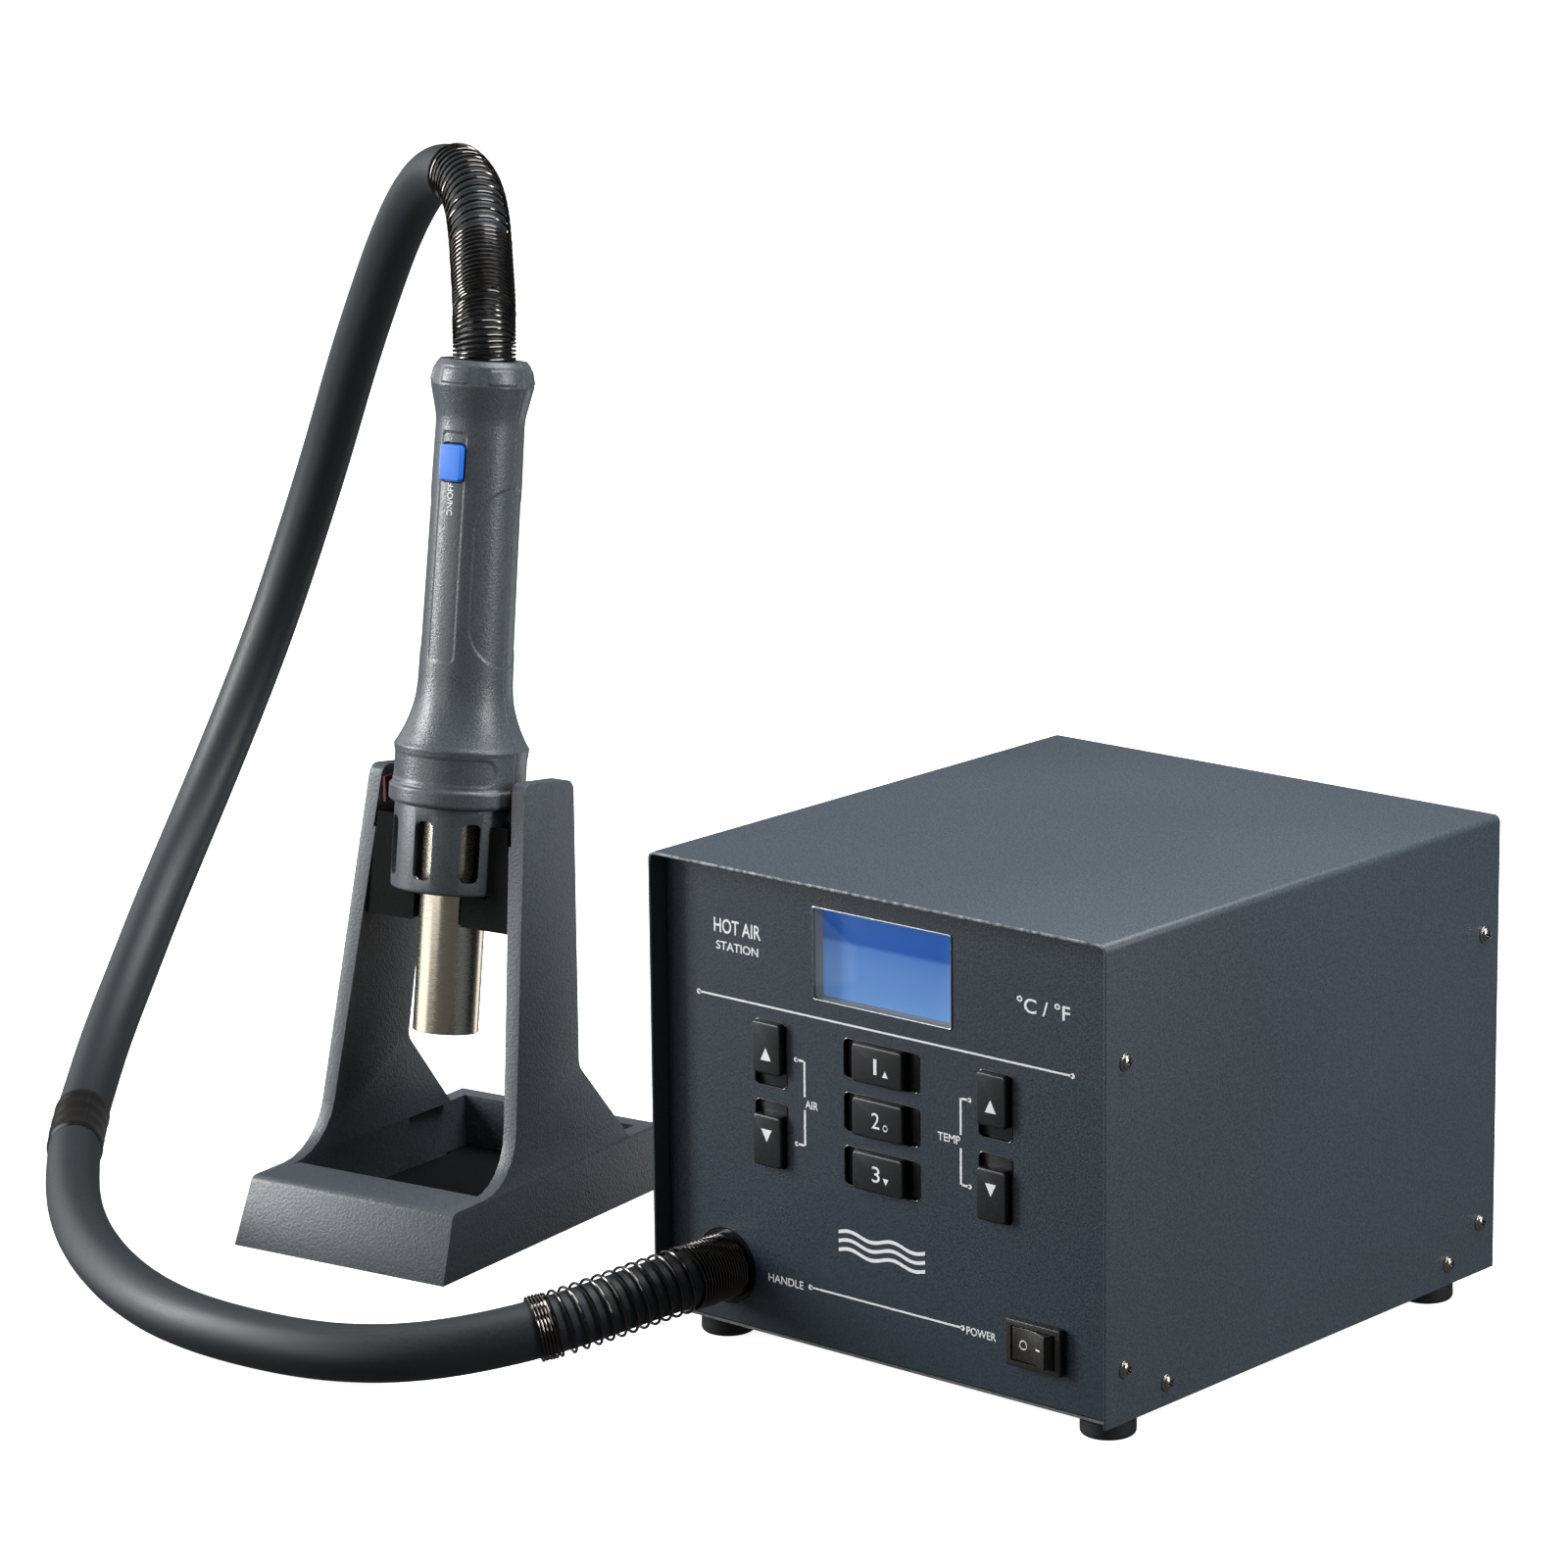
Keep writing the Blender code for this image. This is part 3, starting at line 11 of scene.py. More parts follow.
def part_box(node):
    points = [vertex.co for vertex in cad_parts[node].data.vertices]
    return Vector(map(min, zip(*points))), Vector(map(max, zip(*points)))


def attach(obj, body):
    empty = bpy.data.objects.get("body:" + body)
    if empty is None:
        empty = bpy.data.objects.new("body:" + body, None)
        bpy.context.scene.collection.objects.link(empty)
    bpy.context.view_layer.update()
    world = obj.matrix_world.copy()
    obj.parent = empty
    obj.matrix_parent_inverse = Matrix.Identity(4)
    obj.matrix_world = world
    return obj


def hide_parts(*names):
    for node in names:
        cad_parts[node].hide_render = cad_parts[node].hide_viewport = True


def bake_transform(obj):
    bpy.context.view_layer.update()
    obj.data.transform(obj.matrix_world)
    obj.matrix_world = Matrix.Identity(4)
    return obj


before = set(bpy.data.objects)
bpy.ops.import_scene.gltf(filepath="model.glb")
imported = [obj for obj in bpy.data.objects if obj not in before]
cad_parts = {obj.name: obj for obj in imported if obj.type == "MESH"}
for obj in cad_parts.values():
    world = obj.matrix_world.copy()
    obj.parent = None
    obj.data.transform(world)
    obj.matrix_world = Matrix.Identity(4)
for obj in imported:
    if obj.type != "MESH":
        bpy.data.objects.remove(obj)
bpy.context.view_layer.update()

# Frames of the case, the stand and the handpiece, as in the CAD model. Metres.
COVER_LOW, COVER_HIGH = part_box("case_cover")
CASE_WIDTH = COVER_HIGH[0] - COVER_LOW[0]
CASE_DEPTH = COVER_HIGH[1] - COVER_LOW[1]
CASE_HEIGHT = COVER_HIGH[2] - COVER_LOW[2]
CASE = Matrix.Translation(((COVER_LOW[0] + COVER_HIGH[0]) / 2, COVER_LOW[1], COVER_LOW[2]))
STAND = Matrix.Translation((-0.1301, -0.1093, 0.0)) @ Matrix.Rotation(math.radians(8.0), 4, "Z")
HANDLE = STAND @ Matrix.Translation((0.0, 0.0650, 0.0661)) @ Matrix.Rotation(math.radians(-7.9), 4, "X")

PANEL_Y = 0.0070
PANEL_MIDDLE_X = -0.0015
PRINT_PROUD = 0.00006
CAP_FACE_Y = 0.0044
HOSE_RADIUS = 0.0095
WORLD_STRENGTH = 0.11
FLOOR_REACH = 25.0
FLOOR_GLOW = 0.92
CORNER_STEPS = 6
ROUND_STEPS = 96

SPRING_PLAY = 0.0006
BAND_LENGTH = 0.0430
BAND_LAPS = 7
STEP_KEY_X = 0.0465
PRESET_Z = (0.0986, 0.0808, 0.0630)
ROCKER_MIDDLE = (0.0618, 0.0190)
ROCKER_RADIUS = 0.0085
ROCKER_TILT = math.radians(10.0)
DISPLAY_Z = 0.13085
DISPLAY_SIZE = (0.0569, 0.0302)
AIR_WAVES = 3
AIR_WAVE_STEP = 0.0030
SCREW_TURN = 0.7
BUTTON_ALONG = 0.2000
LABEL_ALONG = 0.1872

# Outer and inner sides of the handle, as in the CAD model: radius and distance along the axis.
HANDLE_OUTER = (
    (0.0150, 0.2350), (0.0164, 0.2332), (0.0179, 0.2265), (0.0153, 0.2150), (0.0156, 0.1950), (0.0160, 0.1600),
    (0.0164, 0.1300), (0.0165, 0.1230), (0.0171, 0.1170), (0.0188, 0.1110), (0.0211, 0.1055), (0.0235, 0.1015),
    (0.0233, 0.1000), (0.0233, 0.0885), (0.0243, 0.0875), (0.0243, 0.0828), (0.0237, 0.0820),
)
HANDLE_INNER = (
    (0.0209, 0.0820), (0.0209, 0.0970), (0.0160, 0.1130), (0.0140, 0.1230), (0.0130, 0.1950), (0.0130, 0.2150),
    (0.0140, 0.2230), (0.0140, 0.2270), (0.0116, 0.2290), (0.0116, 0.2350),
)

# Route of the hose's middle line, as in the CAD model, from the panel along the floor and up to the handle.
HOSE_ROUTE = (
    (0.0288, -0.0892, 0.0276), (0.0273, -0.1045, 0.0272), (0.0228, -0.1200, 0.0254), (0.0125, -0.1460, 0.0208),
    (-0.0025, -0.1670, 0.0162), (-0.0215, -0.1835, 0.0125), (-0.0450, -0.1950, 0.0105),
    (-0.0750, -0.2010, 0.0099), (-0.1130, -0.2000, 0.0098), (-0.1430, -0.1915, 0.0098),
    (-0.1740, -0.1770, 0.0099), (-0.2190, -0.1475, 0.0104), (-0.2590, -0.1125, 0.0110),
    (-0.2875, -0.0840, 0.0118), (-0.3140, -0.0535, 0.0157), (-0.3380, -0.0225, 0.0241),
    (-0.3580, 0.0090, 0.0380), (-0.3740, 0.0400, 0.0577), (-0.3838, 0.0692, 0.0840),
    (-0.3854, 0.0927, 0.1164), (-0.3790, 0.1080, 0.1529), (-0.3660, 0.1138, 0.1905),
    (-0.3483, 0.1122, 0.2266), (-0.3276, 0.1051, 0.2603), (-0.3041, 0.0950, 0.2914),
    (-0.2781, 0.0821, 0.3193), (-0.2485, 0.0658, 0.3410), (-0.2155, 0.0458, 0.3515),
    (-0.1825, 0.0240, 0.3470), (-0.1580, 0.0020, 0.3268), (-0.1492, -0.0066, 0.3142),
    (-0.1445, -0.0118, 0.3065), (-0.1437, -0.0126, 0.3016),
)


# ---------------------------------------------------------------- materials


def srgb(code):
    """Linear colour of a hex sRGB code."""
    parts = [int(code[i:i + 2], 16) / 255 for i in (0, 2, 4)]
    return [p / 12.92 if p <= 0.04045 else ((p + 0.055) / 1.055) ** 2.4 for p in parts] + [1.0]


class Nodes:
    """Short ways to add and join shader nodes."""

    def __init__(self, name, roughness, metallic=0.0):
        self.material = bpy.data.materials.new(name)
        self.material.use_nodes = True
        self.tree = self.material.node_tree
        self.shader = self.tree.nodes["Principled BSDF"]
        self.shader.inputs["Roughness"].default_value = roughness
        self.shader.inputs["Metallic"].default_value = metallic

    def add(self, kind, **values):
        node = self.tree.nodes.new(kind)
        for key, value in values.items():
            if key in node.inputs:
                node.inputs[key].default_value = value
            else:
                setattr(node, key, value)
        return node

    def join(self, out, into):
        self.tree.links.new(out, into)

    def place(self, stretch=(1.0, 1.0, 1.0)):
        """Object coordinates, stretched per axis."""
        where = self.add("ShaderNodeTexCoord")
        mapping = self.add("ShaderNodeMapping")
        mapping.inputs["Scale"].default_value = stretch
        self.join(where.outputs["Object"], mapping.inputs["Vector"])
        return mapping.outputs["Vector"]

    def noise(self, scale, detail=2.0, stretch=(1.0, 1.0, 1.0)):
        noise = self.add("ShaderNodeTexNoise", Scale=scale, Detail=detail)
        self.join(self.place(stretch), noise.inputs["Vector"])
        return noise.outputs["Fac"]

    def ramp(self, value, low, high, dark, light):
        """A colour between dark and light as value goes from low to high."""
        ramp = self.add("ShaderNodeValToRGB")
        ramp.color_ramp.elements[0].position = low
        ramp.color_ramp.elements[0].color = dark
        ramp.color_ramp.elements[1].position = high
        ramp.color_ramp.elements[1].color = light
        self.join(value, ramp.inputs["Fac"])
        return ramp.outputs["Color"]

    def spread(self, value, low, high):
        """value's middle range mapped to low..high."""
        span = self.add("ShaderNodeMapRange")
        for name, number in (("From Min", 0.3), ("From Max", 0.7), ("To Min", low), ("To Max", high)):
            span.inputs[name].default_value = number
        self.join(value, span.inputs["Value"])
        return span.outputs["Result"]

    def bump(self, value, strength, distance=0.0002, onto=None):
        bump = self.add("ShaderNodeBump", Strength=strength, Distance=distance)
        self.join(value, bump.inputs["Height"])
        if onto is not None:
            self.join(onto, bump.inputs["Normal"])
        return bump.outputs["Normal"]

    def finish(self, colour=None, roughness=None, normal=None):
        for name, out in (("Base Color", colour), ("Roughness", roughness), ("Normal", normal)):
            if out is not None:
                self.join(out, self.shader.inputs[name])
        return self.material


def tinted(colour, factor):
    return [c * factor for c in colour[:3]] + [1.0]


def grained(name, code, roughness, grain=2200.0, contrast=0.25, bump=0.25, metallic=0.0, cloud=14.0, sparkle=0.0, shine=0.5):
    """Paint or plastic with a fine grain, slow changes of tone and, where asked, bright flakes."""
    nodes = Nodes(name, roughness, metallic)
    nodes.shader.inputs["Specular IOR Level"].default_value = shine
    base = srgb(code)
    fine = nodes.noise(grain, 3.0)
    slow = nodes.noise(cloud, 2.0)
    both = nodes.add("ShaderNodeMath", operation="MULTIPLY_ADD")
    both.inputs[1].default_value = 0.75
    nodes.join(fine, both.inputs[0])
    quarter = nodes.add("ShaderNodeMath", operation="MULTIPLY")
    quarter.inputs[1].default_value = 0.25
    nodes.join(slow, quarter.inputs[0])
    nodes.join(quarter.outputs[0], both.inputs[2])
    colour = nodes.ramp(both.outputs[0], 0.35, 0.65, tinted(base, 1 - contrast), tinted(base, 1 + contrast))
    if sparkle:
        flakes = nodes.add("ShaderNodeTexVoronoi", Scale=grain * 0.5)
        nodes.join(nodes.place(), flakes.inputs["Vector"])
        sharp = nodes.ramp(flakes.outputs["Distance"], 0.10, 0.22, (1, 1, 1, 1), (0, 0, 0, 1))
        mix = nodes.add("ShaderNodeMix", data_type="RGBA")
        mix.inputs["B"].default_value = (0, 0, 0, 1)
        amount = nodes.add("ShaderNodeMath", operation="MULTIPLY")
        amount.inputs[1].default_value = sparkle
        nodes.join(sharp, amount.inputs[0])
        nodes.join(amount.outputs[0], mix.inputs["Factor"])
        nodes.join(colour, mix.inputs[6])
        mix.inputs[7].default_value = tinted(base, 4.0)
        colour = mix.outputs[2]
    rough = nodes.spread(fine, roughness - 0.08, roughness + 0.08)
    normal = nodes.bump(fine, bump)
    return nodes.finish(colour, rough, normal)


def worn_edge(material):
    """Paint rubbed thin in spots along the cover's front edge, lightened only along its top: partly wear, partly a
    painted highlight where the light falls on that edge.
    """
    tree = material.node_tree
    shader = tree.nodes["Principled BSDF"]
    paint = shader.inputs["Base Color"].links[0].from_socket
    where = tree.nodes.new("ShaderNodeTexCoord")
    parts = tree.nodes.new("ShaderNodeSeparateXYZ")
    near = tree.nodes.new("ShaderNodeMath")
    near.operation = "LESS_THAN"
    near.inputs[1].default_value = 0.00032
    # The lightening is kept to the top few millimetres of the front edge: painted highlight where light catches that
    # edge, broken up by rubbed spots.
    high = tree.nodes.new("ShaderNodeMapRange")
    high.inputs["From Min"].default_value = CASE_HEIGHT - 0.0040
    high.inputs["From Max"].default_value = CASE_HEIGHT - 0.0010
    speckle = tree.nodes.new("ShaderNodeMapRange")
    speckle.inputs["From Min"].default_value = 0.40
    speckle.inputs["From Max"].default_value = 0.65
    high.inputs["To Max"].default_value = 0.5
    both = tree.nodes.new("ShaderNodeMath")
    both.operation = "MULTIPLY"
    spots = tree.nodes.new("ShaderNodeTexNoise")
    spots.inputs["Scale"].default_value = 420.0
    rubbed_and_lit = tree.nodes.new("ShaderNodeMath")
    rubbed_and_lit.operation = "MULTIPLY"
    mix = tree.nodes.new("ShaderNodeMix")
    mix.data_type = "RGBA"
    # Light grey for the rubbed spots and for the painted highlight on the top edge.
    mix.inputs[7].default_value = srgb("B9BDC0")
    tree.links.new(where.outputs["Object"], parts.inputs["Vector"])
    tree.links.new(where.outputs["Object"], spots.inputs["Vector"])
    tree.links.new(parts.outputs["Y"], near.inputs[0])
    tree.links.new(parts.outputs["Z"], high.inputs["Value"])
    tree.links.new(near.outputs[0], both.inputs[0])
    tree.links.new(high.outputs["Result"], both.inputs[1])
    tree.links.new(spots.outputs["Fac"], speckle.inputs["Value"])
    tree.links.new(both.outputs[0], rubbed_and_lit.inputs[0])
    tree.links.new(speckle.outputs["Result"], rubbed_and_lit.inputs[1])
    tree.links.new(rubbed_and_lit.outputs[0], mix.inputs["Factor"])
    tree.links.new(paint, mix.inputs[6])
    tree.links.new(mix.outputs[2], shader.inputs["Base Color"])
    return material


def glowing(material, strength):
    """The material with a little painted light of its own colour: the walls beside the lit display glow in place of the
    light that reaches them through the window pane.
    """
    shader = material.node_tree.nodes["Principled BSDF"]
    # Painted light: a faint glow standing in for light through the window pane.
    shader.inputs["Emission Color"].default_value = srgb("B7B2A2")
    shader.inputs["Emission Strength"].default_value = strength
    return material


def brushed(name, code, roughness, stretch, scale=900.0, contrast=0.12, bump=0.08):
    """Metal brushed along the axis that stretch keeps short."""
    nodes = Nodes(name, roughness, 1.0)
    base = srgb(code)
    lines = nodes.noise(scale, 4.0, stretch)
    colour = nodes.ramp(lines, 0.3, 0.7, tinted(base, 1 - contrast), tinted(base, 1 + contrast))
    rough = nodes.spread(lines, roughness - 0.06, roughness + 0.08)
    normal = nodes.bump(lines, bump, 0.00005)
    return nodes.finish(colour, rough, normal)


def smooth_black(name, code, roughness, bump=0.05):
    """Moulded or lacquered black with faint unevenness."""
    nodes = Nodes(name, roughness)
    base = srgb(code)
    slow = nodes.noise(60.0, 3.0)
    fine = nodes.noise(1500.0, 2.0)
    colour = nodes.ramp(slow, 0.3, 0.7, tinted(base, 0.85), tinted(base, 1.2))
    rough = nodes.spread(slow, roughness - 0.05, roughness + 0.05)
    normal = nodes.bump(fine, bump, 0.0001)
    return nodes.finish(colour, rough, normal)


def display_blue():
    """The lit display behind the window: deep blue above, paler below, lit from behind."""
    nodes = Nodes("display_blue", 0.35)
    where = nodes.add("ShaderNodeTexCoord")
    parts = nodes.add("ShaderNodeSeparateXYZ")
    nodes.join(where.outputs["Object"], parts.inputs["Vector"])
    height = nodes.add("ShaderNodeMapRange")
    height.inputs["From Min"].default_value = DISPLAY_Z - DISPLAY_SIZE[1] / 2
    height.inputs["From Max"].default_value = DISPLAY_Z + DISPLAY_SIZE[1] / 2
    nodes.join(parts.outputs["Z"], height.inputs["Value"])
    ramp = nodes.add("ShaderNodeValToRGB")
    stops = ((0.0, "6F9FDE"), (0.40, "6594D8"), (0.60, "5588D2"), (0.65, "1E5CB8"), (1.0, "2A68C0"))
    elements = ramp.color_ramp.elements
    while len(elements) < len(stops):
        elements.new(0.5)
    for element, (position, code) in zip(elements, stops):
        element.position = position
        element.color = srgb(code)
    nodes.join(height.outputs["Result"], ramp.inputs["Fac"])
    nodes.join(ramp.outputs["Color"], nodes.shader.inputs["Emission Color"])
    nodes.shader.inputs["Emission Strength"].default_value = 0.66
    grain = nodes.noise(4000.0, 1.0)
    return nodes.finish(ramp.outputs["Color"], None, nodes.bump(grain, 0.05))


def clear_window():
    """A thin clear pane: mostly see-through, with the shine of its surface."""
    nodes = Nodes("window_clear", 0.04)
    nodes.shader.inputs["Base Color"].default_value = (0.02, 0.03, 0.05, 1.0)
    nodes.shader.inputs["Alpha"].default_value = 0.22
    nodes.shader.inputs["Coat Weight"].default_value = 0.5
    return nodes.finish(None, nodes.spread(nodes.noise(40.0, 2.0), 0.02, 0.07), None)


MATERIALS = {
    # The cover's front top edge carries painted highlight mixed with rubbed spots of wear.
    "cover": worn_edge(grained("cover_paint", "373F47", 0.45, 1300.0, 0.22, 0.30, 0.0, 9.0, 0.06)),
    "panel": grained("panel_paint", "252F39", 0.40, 1300.0, 0.28, 0.30, 0.0, 10.0, 0.15),
    "zinc": brushed("zinc_plate", "9A9C9C", 0.35, (1.0, 0.05, 1.0)),
    "screw": brushed("screw_nickel", "A8A49E", 0.22, (1.0, 1.0, 1.0), 600.0, 0.10, 0.03),
    "rubber": grained("foot_rubber", "15161A", 0.65, 1800.0, 0.2, 0.2),
    "hose": grained("hose_silicone", "191F23", 0.50, 1500.0, 0.15, 0.12, 0.0, 25.0),
    "spring": brushed("spring_lacquer", "524E4A", 0.14, (1.0, 1.0, 1.0), 800.0, 0.15, 0.03),
    "tape": smooth_black("tape_film", "0F0C0B", 0.20, 0.15),
    "key": grained("key_plastic", "101113", 0.38, 3000.0, 0.2, 0.08),
    "rim": smooth_black("opening_rim", "1A1B1D", 0.15),
    "print": grained("white_print", "E8E8EA", 0.5, 3000.0, 0.04, 0.03),
    "switch": grained("switch_plastic", "1D1A18", 0.42, 2200.0, 0.25, 0.25),
    "stand": grained("stand_paint", "454A4F", 0.42, 1100.0, 0.20, 0.8, 0.0, 20.0, 0.06),
    "insert": grained("stand_insert", "08090A", 0.75, 1300.0, 0.2, 0.3, 0.0, 14.0, 0.0, 0.1),
    "red": grained("red_silicone", "4A0D0C", 0.5, 1500.0, 0.2, 0.1),
    "handle": grained("handle_plastic", "484D51", 0.34, 1300.0, 0.16, 0.6, 0.0, 22.0, 0.05),
    "button": grained("button_blue", "2B78E4", 0.35, 2500.0, 0.08, 0.06),
    "nozzle": brushed("nozzle_steel", "D8CFBC", 0.23, (0.03, 0.03, 1.0), 9000.0, 0.06, 0.012),
    "ceramic": grained("ceramic", "C9BFAE", 0.8, 900.0, 0.12, 0.3),
    "board": grained("circuit_board", "1E5A34", 0.4, 1200.0, 0.3, 0.1),
    "copper": brushed("copper_winding", "9A5A2E", 0.35, (1.0, 0.1, 1.0)),
    "aluminium": brushed("aluminium", "B4B6B8", 0.32, (0.1, 1.0, 1.0)),
    "grey_plastic": grained("blower_plastic", "2C2E30", 0.5, 1500.0, 0.15, 0.15),
    # The display margin's glow is painted light, standing in for light through the window pane.
    "margin": glowing(grained("display_margin", "B7B2A2", 0.5, 2500.0, 0.08, 0.05), 0.12),
    "display": display_blue(),
    "edge": brushed("window_edge", "A8AEB4", 0.15, (1.0, 1.0, 1.0)),
    "glass": clear_window(),
    "dark": smooth_black("dark_inside", "08090A", 0.6),
}


# ---------------------------------------------------------------- building helpers


def smooth_route(route, count):
    """Points spaced evenly along the natural cubic spline through a route."""
    knots = np.array(route)
    steps = np.linalg.norm(np.diff(knots, axis=0), axis=1)
    n = len(knots)
    system = np.zeros((n, n))
    wanted = np.zeros((n, 3))
    system[0, 0] = system[-1, -1] = 1.0
    for i in range(1, n - 1):
        system[i, i - 1:i + 2] = (steps[i - 1], 2 * (steps[i - 1] + steps[i]), steps[i])
        rise = (knots[i + 1] - knots[i]) / steps[i] - (knots[i] - knots[i - 1]) / steps[i - 1]
        wanted[i] = 6 * rise
    bends = np.linalg.solve(system, wanted)
    fine = []
    for i, step in enumerate(steps):
        for part in np.linspace(0.0, 1.0, 40, endpoint=i == n - 2):
            other = 1.0 - part
            line = other * knots[i] + part * knots[i + 1]
            bow = ((other**3 - other) * bends[i] + (part**3 - part) * bends[i + 1]) * step**2 / 6
            fine.append(line + bow)
    return evenly(np.array(fine), count)


def evenly(points, count):
    along = lengths_along(points)
    even = np.linspace(0.0, along[-1], count)
    return np.stack([np.interp(even, along, points[:, axis]) for axis in range(3)], axis=1)


def lengths_along(points):
    return np.concatenate(([0.0], np.cumsum(np.linalg.norm(np.diff(points, axis=0), axis=1))))


def travelling_frames(points, closed=False):
    """Two side directions at each point of a line, turned as little as possible on the way."""
    ahead = np.gradient(points, axis=0)
    if closed:
        ahead = np.roll(points, -1, axis=0) - np.roll(points, 1, axis=0)
    ahead /= np.linalg.norm(ahead, axis=1)[:, None]
    start = np.cross(ahead[0], (0.0, 0.0, 1.0))
    if np.linalg.norm(start) < 0.2:
        start = np.cross(ahead[0], (0.0, 1.0, 0.0))
    sides = [start / np.linalg.norm(start)]
    for direction in ahead[1:]:
        side = sides[-1] - direction * (sides[-1] @ direction)
        sides.append(side / np.linalg.norm(side))
    sides = np.array(sides)
    return sides, np.cross(ahead, sides)


def new_piece(name, data, matrix, material, body, replaced=()):
    """A piece riding on a body, or left free where body is None."""
    piece = bpy.data.objects.new(name, data)
    bpy.context.scene.collection.objects.link(piece)
    piece.matrix_world = matrix
    data.materials.clear()
    data.materials.append(MATERIALS[material])
    if body is not None:
        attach(piece, body)
    if replaced:
        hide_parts(*replaced)
    return piece


def tube_mesh(name, points, radii, sides=12, closed=False):
    """A mesh tube along points, with one radius or one for each point, and flat ends unless closed."""
    points = np.asarray(points, float)
    count = len(points)
    radii = np.broadcast_to(radii, (count,))
    one, two = travelling_frames(points, closed)
    turns = np.linspace(0.0, 2 * math.pi, sides, endpoint=False)
    rings = points[:, None] + radii[:, None, None] * (
        np.cos(turns)[None, :, None] * one[:, None] + np.sin(turns)[None, :, None] * two[:, None]
    )
    faces = []
    for i in range(count if closed else count - 1):
        j = (i + 1) % count
        for k in range(sides):
            m = (k + 1) % sides
            faces.append((i * sides + k, i * sides + m, j * sides + m, j * sides + k))
    if not closed:
        faces.append(tuple(reversed(range(sides))))
        faces.append(tuple((count - 1) * sides + k for k in range(sides)))
    mesh = bpy.data.meshes.new(name)
    mesh.from_pydata(rings.reshape(-1, 3).tolist(), [], faces)
    return smoothed(mesh)


def smoothed(mesh, degrees=35.0):
    shape = bmesh.new()
    shape.from_mesh(mesh)
    bmesh.ops.recalc_face_normals(shape, faces=shape.faces)
    shape.to_mesh(mesh)
    shape.free()
    mesh.shade_smooth()
    mesh.set_sharp_from_angle(angle=math.radians(degrees))
    return mesh


def rounded_outline(corners):
    """Points of a closed outline whose corners are (a, b, radius), with an arc at each rounded one."""
    points = []
    for i, (a, b, radius) in enumerate(corners):
        here = Vector((a, b))
        before = (Vector(corners[i - 1][:2]) - here).normalized()
        after = (Vector(corners[(i + 1) % len(corners)][:2]) - here).normalized()
        if radius == 0.0:
            points.append(here)
            continue
        half = before.angle(after) / 2
        centre = here + (before + after).normalized() * (radius / math.sin(half))
        first = here + before * (radius / math.tan(half)) - centre
        last = here + after * (radius / math.tan(half)) - centre
        for step in range(CORNER_STEPS + 1):
            points.append(centre + first.slerp(last, step / CORNER_STEPS).normalized() * radius)
    return points


def rectangle(middle, size, radius):
    half_width, half_height = size[0] / 2, size[1] / 2
    signs = ((-1, -1), (1, -1), (1, 1), (-1, 1))
    return [(middle[0] + sx * half_width, middle[1] + sy * half_height, radius) for sx, sy in signs]


PLANES = {
    "front": Matrix(((1, 0, 0, 0), (0, 0, 1, 0), (0, 1, 0, 0), (0, 0, 0, 1))),
    "side": Matrix(((0, 0, 1, 0), (1, 0, 0, 0), (0, 1, 0, 0), (0, 0, 0, 1))),
    "top": Matrix.Identity(4),
}


def extruded(name, corners, start, end, facing, bevel=0.0, segments=3):
    """A mesh from a flat outline, from start to end across the plane it faces, with bevelled edges."""
    shape = bmesh.new()
    ring = [shape.verts.new((a, b, start)) for a, b in rounded_outline(corners)]
    face = shape.faces.new(ring)
    grown = bmesh.ops.extrude_face_region(shape, geom=[face])
    moved = [item for item in grown["geom"] if isinstance(item, bmesh.types.BMVert)]
    bmesh.ops.translate(shape, verts=moved, vec=(0.0, 0.0, end - start))
    bmesh.ops.recalc_face_normals(shape, faces=shape.faces)
    if bevel:
        rims = [
            edge for edge in shape.edges
            if abs(edge.verts[0].co.z - edge.verts[1].co.z) < 1e-7
        ]
        bmesh.ops.bevel(
            shape, geom=rims, offset=bevel, segments=segments, profile=0.5, affect="EDGES", clamp_overlap=True
        )
    bmesh.ops.transform(shape, matrix=PLANES[facing], verts=shape.verts)
    mesh = bpy.data.meshes.new(name)
    shape.to_mesh(mesh)
    shape.free()
    return smoothed(mesh)


def boxed(name, low, high, bevel=0.0004, segments=3):
    shape = bmesh.new()
    bmesh.ops.create_cube(shape, size=1.0)
    sides = [b - a for a, b in zip(low, high)]
    middle = [(a + b) / 2 for a, b in zip(low, high)]
    bmesh.ops.scale(shape, vec=sides, verts=shape.verts)
    bmesh.ops.translate(shape, vec=middle, verts=shape.verts)
    if bevel:
        bmesh.ops.bevel(
            shape, geom=shape.edges[:], offset=bevel, segments=segments, profile=0.5, affect="EDGES"
        )
    mesh = bpy.data.meshes.new(name)
    shape.to_mesh(mesh)
    shape.free()
    return smoothed(mesh)


def turned(name, profile, steps=ROUND_STEPS, ring=True, degrees=35.0):
    """A turned mesh about z from a profile of (radius, height); a ring's profile is closed."""
    count = len(profile)
    turns = np.linspace(0.0, 2 * math.pi, steps, endpoint=False)
    points = [(r * math.cos(a), r * math.sin(a), z) for a in turns for r, z in profile]
    faces = []
    for i in range(steps):
        j = (i + 1) % steps
        for k in range(count if ring else count - 1):
            m = (k + 1) % count
            faces.append((i * count + k, i * count + m, j * count + m, j * count + k))
    mesh = bpy.data.meshes.new(name)
    mesh.from_pydata(points, [], faces)
    shape = bmesh.new()
    shape.from_mesh(mesh)
    bmesh.ops.remove_doubles(shape, verts=shape.verts, dist=1e-7)
    shape.to_mesh(mesh)
    shape.free()
    return smoothed(mesh, degrees)


def rounded_profile(points):
    """A closed turned profile with its corners rounded, from (radius, height, rounding)."""
    return [(p.x, p.y) for p in rounded_outline(points)]


